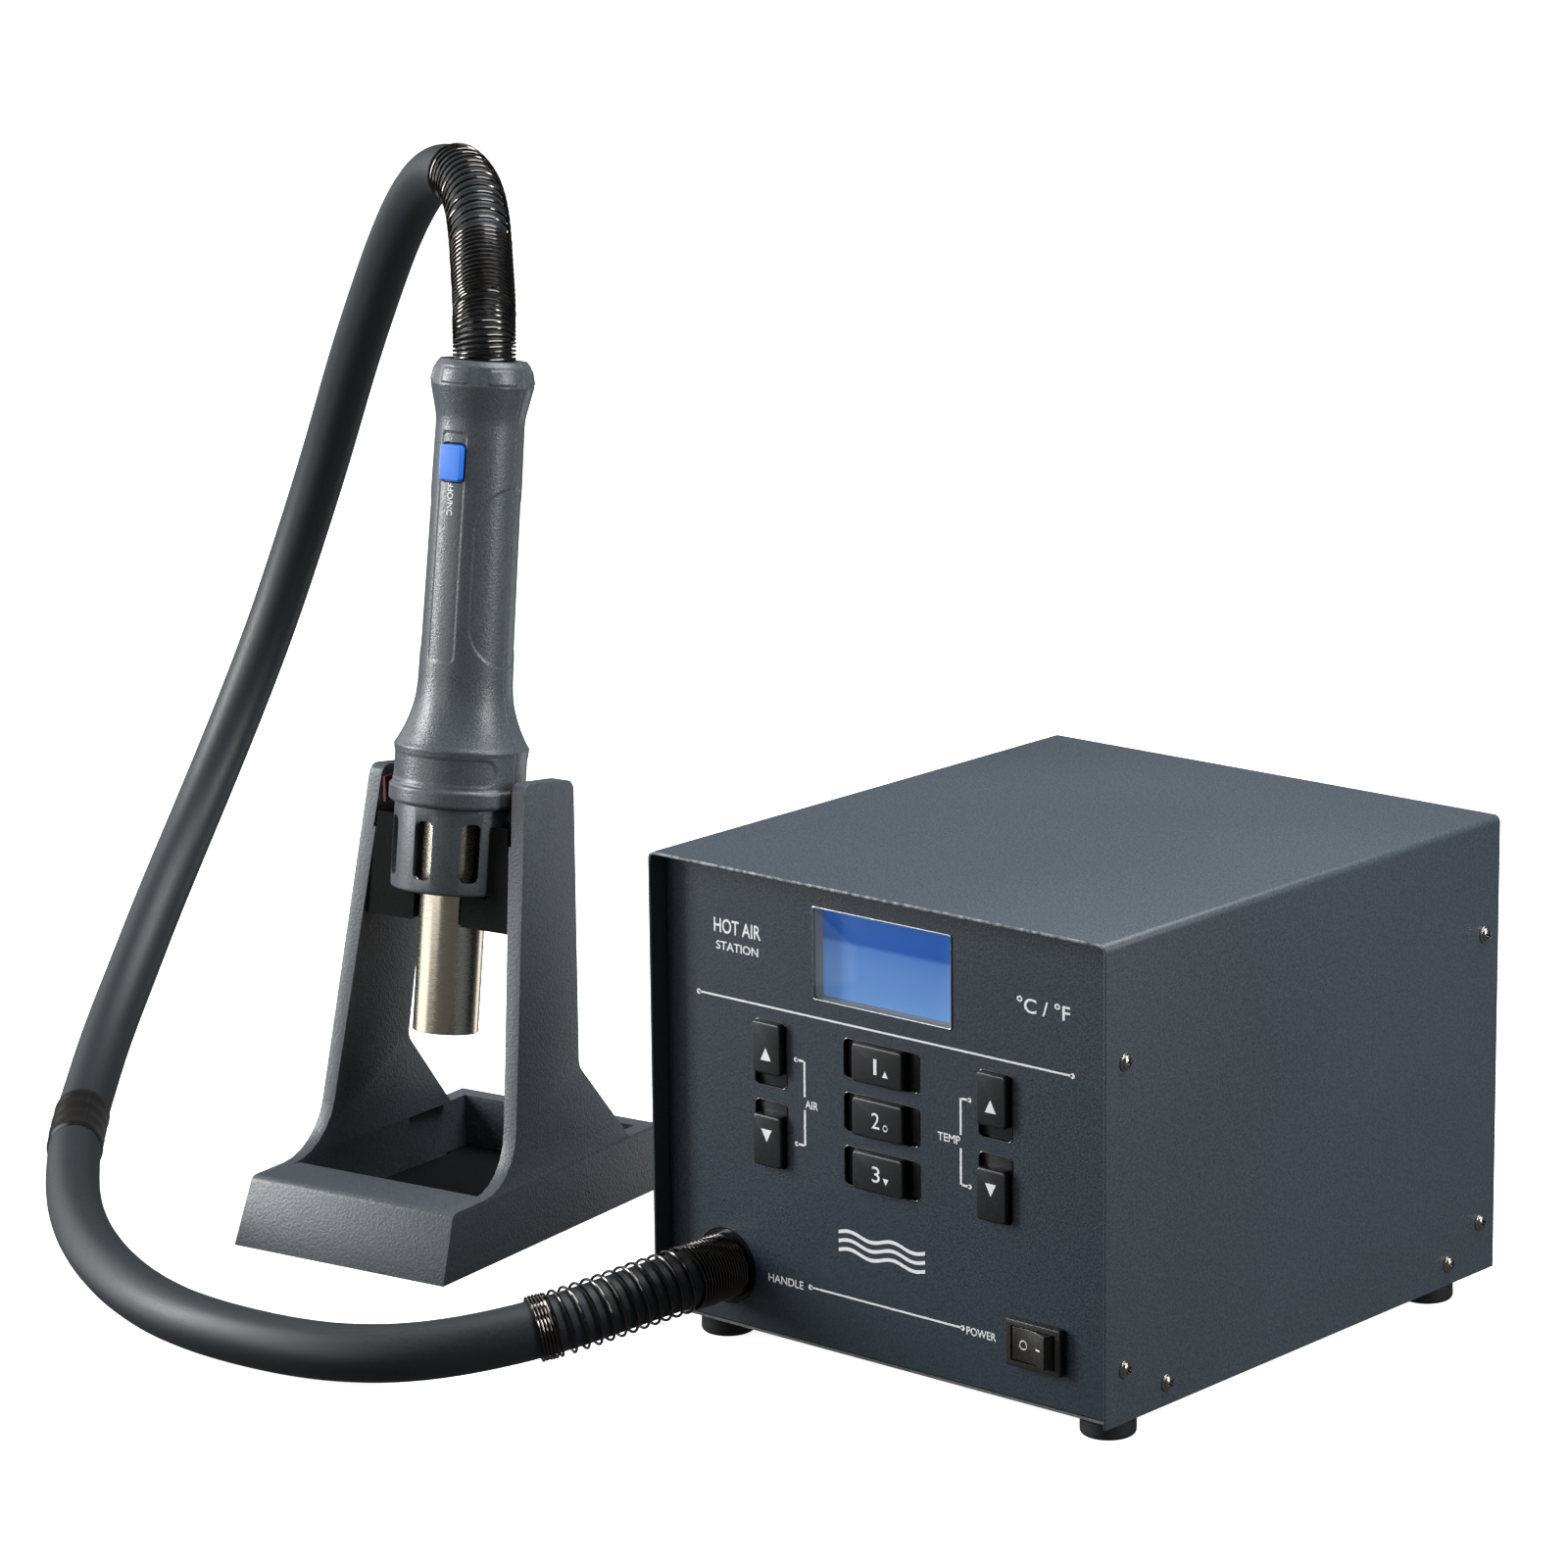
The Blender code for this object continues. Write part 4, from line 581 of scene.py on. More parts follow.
def combined(mesh, tool, operation, degrees=35.0):
    """The mesh after a Boolean with another mesh."""
    first = bpy.data.objects.new("work", mesh)
    second = bpy.data.objects.new("tool", tool)
    for item in (first, second):
        bpy.context.scene.collection.objects.link(item)
    boolean = first.modifiers.new("boolean", "BOOLEAN")
    boolean.operation = operation
    boolean.object = second
    graph = bpy.context.evaluated_depsgraph_get()
    result = bpy.data.meshes.new_from_object(first.evaluated_get(graph))
    result.name = mesh.name
    for item in (first, second):
        bpy.data.objects.remove(item)
    result.shade_smooth()
    result.set_sharp_from_angle(angle=math.radians(degrees))
    return result


def moved(mesh, matrix):
    mesh.transform(matrix)
    return mesh


def repaint(node, material):
    """Gives a CAD node its material."""
    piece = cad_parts[node]
    piece.data.materials.clear()
    piece.data.materials.append(MATERIALS[material])
    return piece


def soften(node, width, segments=2):
    """Rounds the sharp edges of a CAD node."""
    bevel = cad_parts[node].modifiers.new("soft_edges", "BEVEL")
    bevel.width = width
    bevel.segments = segments
    bevel.limit_method = "ANGLE"
    bevel.angle_limit = math.radians(40.0)
    bevel.harden_normals = False


# ---------------------------------------------------------------- camera and studio


def make_camera():
    """A long lens, a little above the case, looking at its front right corner."""
    lens = bpy.data.cameras.new("camera")
    lens.sensor_width = 36.0
    lens.lens = 139.66
    lens.clip_start = 0.05
    lens.clip_end = 30.0
    camera = bpy.data.objects.new("camera", lens)
    bpy.context.scene.collection.objects.link(camera)
    turn = Matrix.Rotation(math.radians(41.19), 4, "Z")
    tip = Matrix.Rotation(math.radians(90.0 - 13.69), 4, "X")
    roll = Matrix.Rotation(math.radians(-0.67), 4, "Z")
    camera.matrix_world = Matrix.Translation((1.2911, -1.4987, 0.6503)) @ turn @ tip @ roll
    bpy.context.scene.camera = camera


def make_light(name, size, power, place, towards, colour=(1.0, 1.0, 1.0)):
    data = bpy.data.lights.new(name, "AREA")
    data.shape = "RECTANGLE"
    data.size, data.size_y = size
    data.energy = power
    data.color = colour
    light = bpy.data.objects.new(name, data)
    bpy.context.scene.collection.objects.link(light)
    light.location = place
    light.rotation_euler = (Vector(towards) - Vector(place)).to_track_quat("-Z", "Y").to_euler()


def make_card(name, place, size, azimuth, strength):
    """An upright bright card that only shiny surfaces mirror."""
    shape = bmesh.new()
    bmesh.ops.create_grid(shape, x_segments=1, y_segments=1, size=0.5)
    mesh = bpy.data.meshes.new(name)
    shape.to_mesh(mesh)
    shape.free()
    upright = Matrix.Rotation(math.radians(azimuth + 90.0), 4, "Z") @ Matrix.Rotation(math.radians(90.0), 4, "X")
    mesh.transform(Matrix.Translation(place) @ upright @ Matrix.Diagonal((size[0], size[1], 1.0, 1.0)))
    card = bpy.data.objects.new(name, mesh)
    bpy.context.scene.collection.objects.link(card)
    card.visible_camera = False
    card.visible_diffuse = False
    card.visible_shadow = False
    nodes = Nodes(name, 0.6)
    nodes.shader.inputs["Base Color"].default_value = (0.0, 0.0, 0.0, 1.0)
    nodes.shader.inputs["Emission Color"].default_value = (1.0, 1.0, 1.0, 1.0)
    nodes.shader.inputs["Emission Strength"].default_value = strength
    mesh.materials.append(nodes.material)


def make_studio():
    """Pale floor, white surroundings and three soft boxes."""
    world = bpy.data.worlds.new("studio")
    world.use_nodes = True
    background = world.node_tree.nodes["Background"]
    background.inputs["Color"].default_value = (1.0, 1.0, 1.0, 1.0)
    background.inputs["Strength"].default_value = WORLD_STRENGTH
    bpy.context.scene.world = world
    bpy.context.scene.view_settings.view_transform = "Standard"

    shape = bmesh.new()
    bmesh.ops.create_grid(shape, x_segments=2, y_segments=2, size=FLOOR_REACH)
    mesh = bpy.data.meshes.new("floor")
    shape.to_mesh(mesh)
    shape.free()
    floor = bpy.data.objects.new("floor", mesh)
    bpy.context.scene.collection.objects.link(floor)
    # The object is lit and mirrored by the darker room and the soft boxes, and not by the bright floor.
    floor.visible_glossy = False
    floor.visible_diffuse = False
    nodes = Nodes("floor_white", 0.6)
    nodes.shader.inputs["Base Color"].default_value = (0.93, 0.93, 0.93, 1.0)
    nodes.shader.inputs["Emission Color"].default_value = (1.0, 1.0, 1.0, 1.0)
    nodes.shader.inputs["Emission Strength"].default_value = FLOOR_GLOW
    mesh.materials.append(nodes.material)

    make_card("card_front_left", (-0.466, -0.300, -0.015), (0.353, 0.16), -142.0, 1.5)
    make_card("card_behind", (-0.07, 0.75, -0.12), (0.30, 0.36), 85.0, 1.6)
    target = (0.0, 0.0, 0.1)
    make_light("top_box", (1.4, 1.0), 40.0, (0.2, 0.5, 1.6), target, (0.95, 0.98, 1.0))
    make_light("left_box", (0.45, 1.3), 46.0, (-1.45, -1.00, 0.75), (-0.15, 0.0, 0.18), (0.97, 0.99, 1.0))
    make_light("left_wide", (1.8, 1.4), 9.0, (-2.0, -0.2, 0.8), (-0.15, 0.0, 0.15))
    make_light("front_left_card", (1.6, 1.0), 11.0, (-0.86, -1.76, 0.5), (-0.1, 0.0, 0.15))
    make_light("right_strip", (0.22, 1.0), 19.0, (1.45, 0.30, 0.75), (-0.15, 0.0, 0.18))


make_camera()
make_studio()


# ---------------------------------------------------------------- hose


def helix(line, radius, turns_at, count):
    """Points of a coil round a line; turns_at gives the number of turns made up to each share of the line."""
    along = lengths_along(line)
    sides, ups = travelling_frames(line)
    shares = np.linspace(0.0, 1.0, count)
    angle = 2 * math.pi * np.interp(shares, [s for s, _ in turns_at], [t for _, t in turns_at])
    where = shares * along[-1]

    def at(values):
        return np.stack([np.interp(where, along, values[:, axis]) for axis in range(3)], axis=1)

    middle, side, up = at(line), at(sides), at(ups)
    return middle + radius * (np.cos(angle)[:, None] * side + np.sin(angle)[:, None] * up)


def with_ends(line, first, last):
    """The line with a straight piece added at each end."""
    ahead = (line[0] - line[1]) / np.linalg.norm(line[0] - line[1])
    behind = (line[-1] - line[-2]) / np.linalg.norm(line[-1] - line[-2])
    return np.vstack((line[:1] + ahead * first, line, line[-1:] + behind * last))


def add_tube(name, points, radii, sides, material, body, replaced):
    mesh = tube_mesh(name, points, radii, sides)
    return new_piece(name, mesh, Matrix.Identity(4), material, body, replaced)


def add_spring(name, line, length, wire, turns, body, node):
    """A coil round the start of a line; turns are (distance along the line, turns made)."""
    stretch = line[lengths_along(line) <= length]
    shares = [(distance / length, made) for distance, made in turns]
    points = helix(stretch, HOSE_RADIUS + SPRING_PLAY + wire, shares, int(turns[-1][1] * 26))
    add_tube(name, points, wire, 8, "spring", body, (node,))


def make_hose():
    """The hose, its two spring guards and the tape round it."""
    line = evenly(with_ends(smooth_route(HOSE_ROUTE, 500), 0.0010, 0.0050), 500)
    length = lengths_along(line)[-1]
    hose = add_tube("hose_tube", line, HOSE_RADIUS, 32, "hose", None, ("hose",))
    # Close-wound where it leaves the panel, then open turns, then a few close ones.
    turns = ((0.0, 0.0), (0.0170, 15.5), (0.0670, 27.5), (0.0730, 33.0))
    add_spring("panel_spring_coil", line, 0.0730, 0.00050, turns, "station", "panel_spring")
    # Two close-wound lengths above the handle, then open turns over the bend.
    turns = ((0.0, 0.0), (0.0190, 13.5), (0.0210, 14.0), (0.0490, 30.5), (0.1090, 45.0))
    add_spring("handle_spring_coil", line[::-1], 0.1090, 0.00050, turns, "handpiece", "handle_spring")

    low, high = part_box("hose_band")
    centre = (np.array(low) + np.array(high)) / 2
    nearest = int(np.argmin(np.linalg.norm(line - centre, axis=1)))
    reach = int(BAND_LENGTH / 2 / (length / len(line)))
    band = line[nearest - reach:nearest + reach + 1]
    laps = np.sin(np.linspace(0.0, BAND_LAPS * math.pi, len(band))) > 0.0
    radii = HOSE_RADIUS + 0.00045 + 0.00020 * laps
    radii[[0, -1]] = HOSE_RADIUS + 0.0001
    add_tube("tape_band", band, radii, 40, "tape", "station", ("hose_band",))

    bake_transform(hose)


# ---------------------------------------------------------------- case


def ring_line(corners, y):
    """A closed loop of points on the case's front, y behind the cover's edge."""
    return np.array([(p.x, y, p.y) for p in rounded_outline(corners)])


def key_layout():
    """Body, opening and cap of each key, each as its middle and size on the panel."""
    step_opening, step_cap = (0.0137, 0.0222), (0.0120, 0.0172)
    keys = []
    for word, x in (("air", PANEL_MIDDLE_X - STEP_KEY_X), ("temp", PANEL_MIDDLE_X + STEP_KEY_X)):
        keys.append((f"{word}_up_key", (x, 0.0940), step_opening, (x, 0.0963), step_cap))
        keys.append((f"{word}_down_key", (x, 0.0672), step_opening, (x, 0.0652), step_cap))
    for number, z in enumerate(PRESET_Z, 1):
        middle = (PANEL_MIDDLE_X, z)
        keys.append((f"preset_key_{number}", middle, (0.0314, 0.0133), middle, (0.0210, 0.0127)))
    return keys


def joined(name, meshes):
    """One mesh from several."""
    shape = bmesh.new()
    for mesh in meshes:
        shape.from_mesh(mesh)
    whole = bpy.data.meshes.new(name)
    shape.to_mesh(whole)
    shape.free()
    for mesh in meshes:
        bpy.data.meshes.remove(mesh)
    return smoothed(whole)


def make_keys():
    """Each key's cap and flange, and the glossy lip round its opening."""
    for name, opening, opening_size, cap, cap_size in key_layout():
        top = extruded(f"{name}_top", rectangle(cap, cap_size, 0.0014), CAP_FACE_Y, 0.0089, "front", 0.0007, 4)
        flange = (opening_size[0] + 0.0020, opening_size[1] + 0.0020)
        back = extruded(f"{name}_flange", rectangle(opening, flange, 0.0005), 0.0084, 0.0095, "front", 0.0002)
        mesh = joined(f"{name}_cap", [top, back])
        new_piece(f"{name}_cap", mesh, CASE, "key", name, (name,))
        lip = (opening_size[0] - 0.0002, opening_size[1] - 0.0002)
        loop = ring_line(rectangle(opening, lip, 0.0019), PANEL_Y)
        mesh = tube_mesh(f"{name}_lip", loop, 0.00024, 8, True)
        new_piece(f"{name}_lip", mesh, CASE, "rim", "station")


def print_on_panel(name, meshes, body="station"):
    """White print on the panel or a key, from flat meshes in the case frame."""
    new_piece(name, joined(name, meshes), CASE, "print", body)


def flat(name, points, y=PANEL_Y):
    """A flat printed shape from outline points on the panel."""
    return extruded(name, [(a, b, 0.0) for a, b in points], y - PRINT_PROUD, y + PRINT_PROUD, "front")


def stroke(start, end, width, y=PANEL_Y):
    """A printed line between two points."""
    a, b = Vector(start), Vector(end)
    side = (b - a).normalized().orthogonal() * (width / 2)
    return flat("stroke", [a + side, a - side, b - side, b + side], y)


def dot(middle, radius, y=PANEL_Y):
    turns = [2 * math.pi * i / 24 for i in range(24)]
    return flat("dot", [(middle[0] + radius * math.cos(t), middle[1] + radius * math.sin(t)) for t in turns], y)


def lettered(words, middle, width, height, weight=0.0):
    """Flat letters centred on a point, with this width and capital height, in the plane x, z."""
    text = bpy.data.curves.new("text", "FONT")
    text.body = words
    text.offset = weight
    text.extrude = 0.01
    text.resolution_u = 6
    holder = bpy.data.objects.new("text", text)
    bpy.context.scene.collection.objects.link(holder)
    graph = bpy.context.evaluated_depsgraph_get()
    mesh = bpy.data.meshes.new_from_object(holder.evaluated_get(graph))
    bpy.data.objects.remove(holder)
    spots = np.array([v.co for v in mesh.vertices])
    low, high = spots.min(axis=0), spots.max(axis=0)
    centre = (low + high) / 2
    across = Matrix.Scale(width / (high[0] - low[0]), 4, (1, 0, 0))
    up = Matrix.Scale(height / (high[1] - low[1]), 4, (0, 1, 0))
    deep = Matrix.Scale(2 * PRINT_PROUD / (high[2] - low[2]), 4, (0, 0, 1))
    mesh.transform(PLANES["front"] @ across @ up @ deep @ Matrix.Translation(-Vector(centre)))
    mesh.transform(Matrix.Translation((middle[0], 0.0, middle[1])))
    mesh.flip_normals()
    return mesh


def on_panel(mesh, y=PANEL_Y):
    return moved(mesh, Matrix.Translation((0.0, y, 0.0)))


def triangle(middle, width, height, y=CAP_FACE_Y):
    """A printed triangle pointing up, or down where height is negative."""
    x, z = middle
    corners = [(x - width / 2, z - height / 2), (x + width / 2, z - height / 2), (x, z + height / 2)]
    return flat("triangle", corners, y)


def ring_print(middle, radius, width, y):
    """A printed circle line."""
    turns = np.linspace(0.0, 2 * math.pi, 28, endpoint=False)
    loop = np.array([(middle[0] + radius * math.cos(t), y, middle[1] + radius * math.sin(t)) for t in turns])
    return tube_mesh("ring", loop, width / 2, 6, True)


def bracket(side, x_dots, x_line, z_low, z_high, z_gap):
    """A printed bracket that joins two keys, broken where its word stands."""
    middle = (z_low + z_high) / 2
    parts = []
    for z, towards in ((z_high, middle + z_gap), (z_low, middle - z_gap)):
        parts.append(dot((x_dots, z), 0.0008))
        parts.append(stroke((x_dots, z), (x_line + side * 0.0004, z), 0.0007))
        parts.append(stroke((x_line, z), (x_line, towards), 0.0008))
    return parts


def air_waves():
    """A plain sign for moving air: waves, one above the other."""
    parts = []
    for i in range(AIR_WAVES):
        z = 0.0368 + AIR_WAVE_STEP * (i - (AIR_WAVES - 1) / 2)
        turns = np.linspace(0.0, 4 * math.pi, 65)
        lower = [(-0.0200 + 0.0360 * t / (4 * math.pi), z - 0.0006 + 0.0009 * math.sin(t)) for t in turns]
        upper = [(a, b + 0.0012) for a, b in reversed(lower)]
        parts.append(flat("wave", lower + upper))
    return parts


def make_prints():
    """Lines, generic words and marks in white on the panel and the keys."""
    parts = [stroke((-0.0788, 0.1096), (0.0756, 0.1094), 0.00065)]
    parts += [dot((-0.0788, 0.1096), 0.0009), dot((0.0756, 0.1094), 0.0009)]
    parts += [stroke((-0.0322, 0.0185), (0.0313, 0.0183), 0.00065)]
    parts += [dot((-0.0322, 0.0185), 0.0009), dot((0.0313, 0.0183), 0.0009)]
    parts += bracket(-1, -0.0374, -0.0338, 0.0659, 0.0940, 0.0022)
    parts += bracket(1, 0.0345, 0.0309, 0.0656, 0.0939, 0.0022)
    print_on_panel("panel_lines", parts)
    words = (
        ("HOT AIR", (-0.0618, 0.1333), 0.0200, 0.0048), ("STATION", (-0.0619, 0.1267), 0.0180, 0.0029),
        ("AIR", (-0.0309, 0.0799), 0.0054, 0.0027), ("TEMP", (0.0261, 0.0800), 0.0092, 0.0027),
        ("HANDLE", (-0.0427, 0.0183), 0.0150, 0.0027), ("POWER", (0.0389, 0.0179), 0.0120, 0.0027),
        ("°C / °F", (0.0641, 0.1290), 0.0210, 0.0050),
    )
    print_on_panel("panel_words", [on_panel(lettered(w, at, wide, high, 0.012)) for w, at, wide, high in words])
    print_on_panel("panel_icon", air_waves())
    for word, x in (("air", -0.0480), ("temp", 0.0450)):
        print_on_panel(f"{word}_up_mark", [triangle((x, 0.0944), 0.0044, 0.0042)], f"{word}_up_key")
        print_on_panel(f"{word}_down_mark", [triangle((x, 0.0671), 0.0044, -0.0042)], f"{word}_down_key")
    for number, z in enumerate(PRESET_Z, 1):
        digit = on_panel(lettered(str(number), (-0.0020, z), 0.0013 if number == 1 else 0.0032, 0.0052), CAP_FACE_Y)
        small = (0.0021, z - 0.0018)
        marks = (triangle(small, 0.0024, 0.0022), ring_print(small, 0.0009, 0.0004, CAP_FACE_Y),
                 triangle(small, 0.0024, -0.0022))
        print_on_panel(f"preset_mark_{number}", [digit, marks[number - 1]], f"preset_key_{number}")
        for mark in marks:
            if mark != marks[number - 1]:
                bpy.data.meshes.remove(mark)


def make_cover():
    """The folded cover, with eased edges."""
    half, sheet, bend, top = CASE_WIDTH / 2, 0.0010, 0.0024, CASE_HEIGHT
    inside = half - sheet
    corners = [
        (-half, 0.0, 0.0), (-inside, 0.0, 0.0), (-inside, top - sheet, bend - sheet), (inside, top - sheet, bend - sheet),
        (inside, 0.0, 0.0), (half, 0.0, 0.0), (half, top, bend), (-half, top, bend),
    ]
    mesh = extruded("cover_sheet", corners, 0.0, CASE_DEPTH, "front", 0.00030, 3)
    new_piece("cover_sheet", mesh, CASE, "cover", "station", ("case_cover",))


def make_display():
    """The clear window, the pale walls behind it and the lit display."""
    middle, size = (-0.00115, DISPLAY_Z), DISPLAY_SIZE
    pane = extruded("window_pane", rectangle(middle, size, 0.0010), 0.0066, 0.0080, "front", 0.0003)
    new_piece("window_pane", pane, CASE, "glass", "station", ("lcd_window",))
    loop = ring_line(rectangle(middle, (size[0] + 0.0002, size[1] + 0.0002), 0.0010), PANEL_Y - 0.0001)
    edge = tube_mesh("window_edge", loop, 0.00030, 8, True)
    new_piece("window_edge", edge, CASE, "edge", "station")
    outer = extruded("display_frame", rectangle(middle, (0.0630, 0.0344), 0.0010), 0.0082, 0.0118, "front")
    hole = extruded("display_hole", rectangle(middle, (0.0566, 0.0299), 0.0008), 0.0070, 0.0130, "front")
    frame_mesh = combined(outer, hole, "DIFFERENCE")
    new_piece("display_frame", frame_mesh, CASE, "margin", "station", ("lcd_module",))
    plate = extruded("display_plate", rectangle(middle, (0.0630, 0.0344), 0.0010), 0.0119, 0.0150, "front", 0.0002)
    new_piece("display_plate", plate, CASE, "display", "station")


def make_switch():
    """The power switch: bezel, and a rocker with a hollow face and its two signs."""
    bezel = extruded("switch_bezel", rectangle(ROCKER_MIDDLE, (0.0220, 0.0154), 0.0008), 0.0042, 0.0068, "front", 0.0005)
    body = extruded("switch_body", rectangle(ROCKER_MIDDLE, (0.0190, 0.0130), 0.0), 0.0066, 0.0190, "front")
    hole = extruded("switch_hole", rectangle(ROCKER_MIDDLE, (0.0177, 0.0116), 0.0003), 0.0, 0.0160, "front")
    hole_too = hole.copy()
    bezel = combined(bezel, hole, "DIFFERENCE")
    body = combined(body, hole_too, "DIFFERENCE")
    mesh = joined("switch_housing", [bezel, body])
    new_piece("switch_housing", mesh, CASE, "switch", "station", ("power_switch_housing",))

    reach = ROCKER_RADIUS * math.cos(math.radians(30.0))
    ends = ROCKER_RADIUS * math.sin(math.radians(30.0))
    valley = ROCKER_RADIUS * (0.5 - math.cos(math.radians(30.0)) * math.tan(ROCKER_TILT))

    def face_height(x):
        return valley + (ends - valley) * (x / reach) ** 2

    face = [(x, -face_height(x)) for x in np.linspace(-reach, reach, 17)]
    flank = [math.radians(a) for a in np.linspace(30.0, -25.0, 12)[1:]]
    right = [(ROCKER_RADIUS * math.cos(a), -ROCKER_RADIUS * math.sin(a)) for a in flank]
    left = [(-x, y) for x, y in reversed(right)]
    corners = [(x, y, 0.0) for x, y in face + right + left]
    mesh = extruded("rocker", corners, -0.0055, 0.0055, "top", 0.0003)
    place = CASE @ Matrix.Translation((ROCKER_MIDDLE[0], PANEL_Y, ROCKER_MIDDLE[1]))
    place = place @ Matrix.Rotation(-ROCKER_TILT, 4, "Z")
    new_piece("rocker", mesh, place, "switch", "power_rocker", ("power_rocker",))

    sign = ring_print((-0.0032, 0.0), 0.0014, 0.00045, 0.0)
    dash = moved(stroke((0.0024, 0.0), (0.0046, 0.0), 0.0006, 0.0), Matrix.Identity(4))
    signs = joined("rocker_signs", [sign, dash])
    for vertex in signs.vertices:
        vertex.co.y -= face_height(vertex.co.x)
    new_piece("rocker_signs", signs, place, "print", "power_rocker")


def screw_mesh():
    """A pan head screw with a flange and a cross recess, its head towards z."""
    outer = rounded_profile(
        ((0.0, -0.0045, 0.0), (0.0012, -0.0045, 0.0), (0.0012, 0.0, 0.0), (0.00285, 0.0, 0.0), (0.00285, 0.00040, 0.00018),
         (0.00225, 0.00050, 0.00010), (0.00205, 0.00125, 0.0005), (0.00120, 0.00165, 0.0006), (0.0, 0.00170, 0.0))
    )
    head = turned("screw", outer, 48, False)
    for turn in (0.0, math.pi / 2):
        slot = boxed("slot", (-0.00150, -0.00034, 0.00060), (0.00150, 0.00034, 0.0030), 0.0)
        head = combined(head, moved(slot, Matrix.Rotation(turn, 4, "Z")), "DIFFERENCE")
    pit = turned("pit", [(0.0, 0.0002), (0.00085, 0.0012), (0.00085, 0.0030), (0.0, 0.0030)], 24, False)
    return combined(head, pit, "DIFFERENCE")


def make_screws():
    mesh = screw_mesh()
    places = ((0.0097, 0.0177), (0.0097, 0.1167), (0.0311, 0.0075), (0.1838, 0.0075), (0.2017, 0.0174), (0.2017, 0.1167))
    for side, word in ((-1, "left"), (1, "right")):
        for i, (y, z) in enumerate(places, 1):
            seat = Matrix.Translation((side * (CASE_WIDTH / 2 + 0.0001), y, z))
            turn = Matrix.Rotation(side * math.pi / 2, 4, "Y") @ Matrix.Rotation(SCREW_TURN * i * side, 4, "Z")
            node = f"cover_screw_{word}_{i}"
            new_piece(f"{node}_head", mesh, CASE @ seat @ turn, "screw", "station", (node,))


def make_feet():
    """Rubber feet with a rounded lower edge and a shallow groove."""
    profile = rounded_profile(
        ((0.0, 0.0, 0.0), (0.0090, 0.0, 0.0015), (0.0090, 0.0052, 0.0003), (0.0087, 0.0054, 0.0001),
         (0.0087, 0.0058, 0.0001), (0.0090, 0.0060, 0.0002), (0.0090, 0.0077, 0.0003), (0.0, 0.0077, 0.0))
    )
    for word in ("front_left", "front_right", "rear_left", "rear_right"):
        low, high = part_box(f"foot_{word}")
        at = Matrix.Translation(((low.x + high.x) / 2, (low.y + high.y) / 2, 0.0))
        mesh = turned(f"foot_{word}_rubber", profile, 64, False)
        new_piece(f"foot_{word}_rubber", mesh, at, "rubber", "station", (f"foot_{word}",))


# ---------------------------------------------------------------- stand


def stand_half_width(z):
    return 0.0446 - math.tan(math.radians(4.2)) * z


def upright_inner(y, z):
    """Half of the gap between the uprights, whose walls grow thicker towards the back."""
    return stand_half_width(z) - (0.0050 + 0.055 * (y - 0.0440))


def leaning_block(half_width, y_range, z_range):
    """A box whose sides follow half_width(y, z)."""
    shape = bmesh.new()
    bmesh.ops.create_cube(shape, size=2.0)
    for vertex in shape.verts:
        y = y_range[vertex.co.y > 0]
        z = z_range[vertex.co.z > 0]
        vertex.co = (vertex.co.x * half_width(y, z), y, z)
    mesh = bpy.data.meshes.new("leaning_block")
    shape.to_mesh(mesh)
    shape.free()
    return mesh


def eased(mesh, width, least_angle=50.0, segments=3):
    """The mesh with its sharp edges rounded."""
    shape = bmesh.new()
    shape.from_mesh(mesh)
    bmesh.ops.dissolve_limit(shape, angle_limit=math.radians(0.5), verts=shape.verts, edges=shape.edges)
    limit = math.radians(least_angle)
    sharp = [edge for edge in shape.edges if len(edge.link_faces) == 2 and edge.calc_face_angle(0.0) > limit]
    bmesh.ops.bevel(shape, geom=sharp, offset=width, segments=segments, profile=0.5, affect="EDGES", clamp_overlap=True)
    shape.to_mesh(mesh)
    shape.free()
    return smoothed(mesh, 30.0)


def make_stand():
    """The cast stand: a foot with a well, and two leaning uprights with rounded outer edges."""
    outline = (
        (0.0000, 0.0000, 0.0000), (0.0090, 0.0230, 0.0030), (0.0449, 0.0230, 0.0220), (0.0700, 0.1585, 0.0040),
        (0.0985, 0.1545, 0.0040), (0.0880, 0.0550, 0.0060), (0.1145, 0.0230, 0.0030), (0.1340, 0.0230, 0.0020),
        (0.1370, 0.0000, 0.0000),
    )
    mesh = extruded("stand_body", outline, -0.0500, 0.0500, "side")
    sides = leaning_block(lambda y, z: stand_half_width(z), (-0.01, 0.15), (-0.01, 0.17))
    mesh = combined(mesh, sides, "INTERSECT")
    mesh = combined(mesh, leaning_block(upright_inner, (-0.01, 0.15), (0.0230, 0.17)), "DIFFERENCE")
    mesh = combined(mesh, leaning_block(upright_inner, (0.0295, 0.1145), (-0.0010, 0.0240)), "DIFFERENCE")
    mesh = eased(mesh, 0.0010)
    pocket = leaning_block(lambda y, z: upright_inner(y, z) + 0.0010, (0.066, 0.15), (0.105, 0.17))
    mesh = combined(mesh, pocket, "DIFFERENCE")
    mesh = combined(mesh, boxed("well", (-0.0370, 0.0900, -0.0010), (0.0370, 0.1260, 0.0240), 0.0), "DIFFERENCE")
    mesh.name = "stand_body"
    new_piece("stand_body", mesh, STAND, "stand", "station", ("stand_frame",))
    plate = leaning_block(lambda y, z: upright_inner(y, z) - 0.0001, (0.0296, 0.1140), (0.0025, 0.0045))
    back = boxed("floor_back", (-0.0369, 0.1139, 0.0025), (0.0369, 0.1259, 0.0045), 0.0)
    plate = joined("stand_floor", [plate, back])
    new_piece("stand_floor", plate, STAND, "insert", "station", ("stand_floor_plate",))


# ---------------------------------------------------------------- handpiece


def soft_step(distance, soft):
    """From 0 outside to 1 inside, over a band of width 2 * soft."""
    share = np.clip((soft - distance) / (2 * soft), 0.0, 1.0)
    return share * share * (3 - 2 * share)


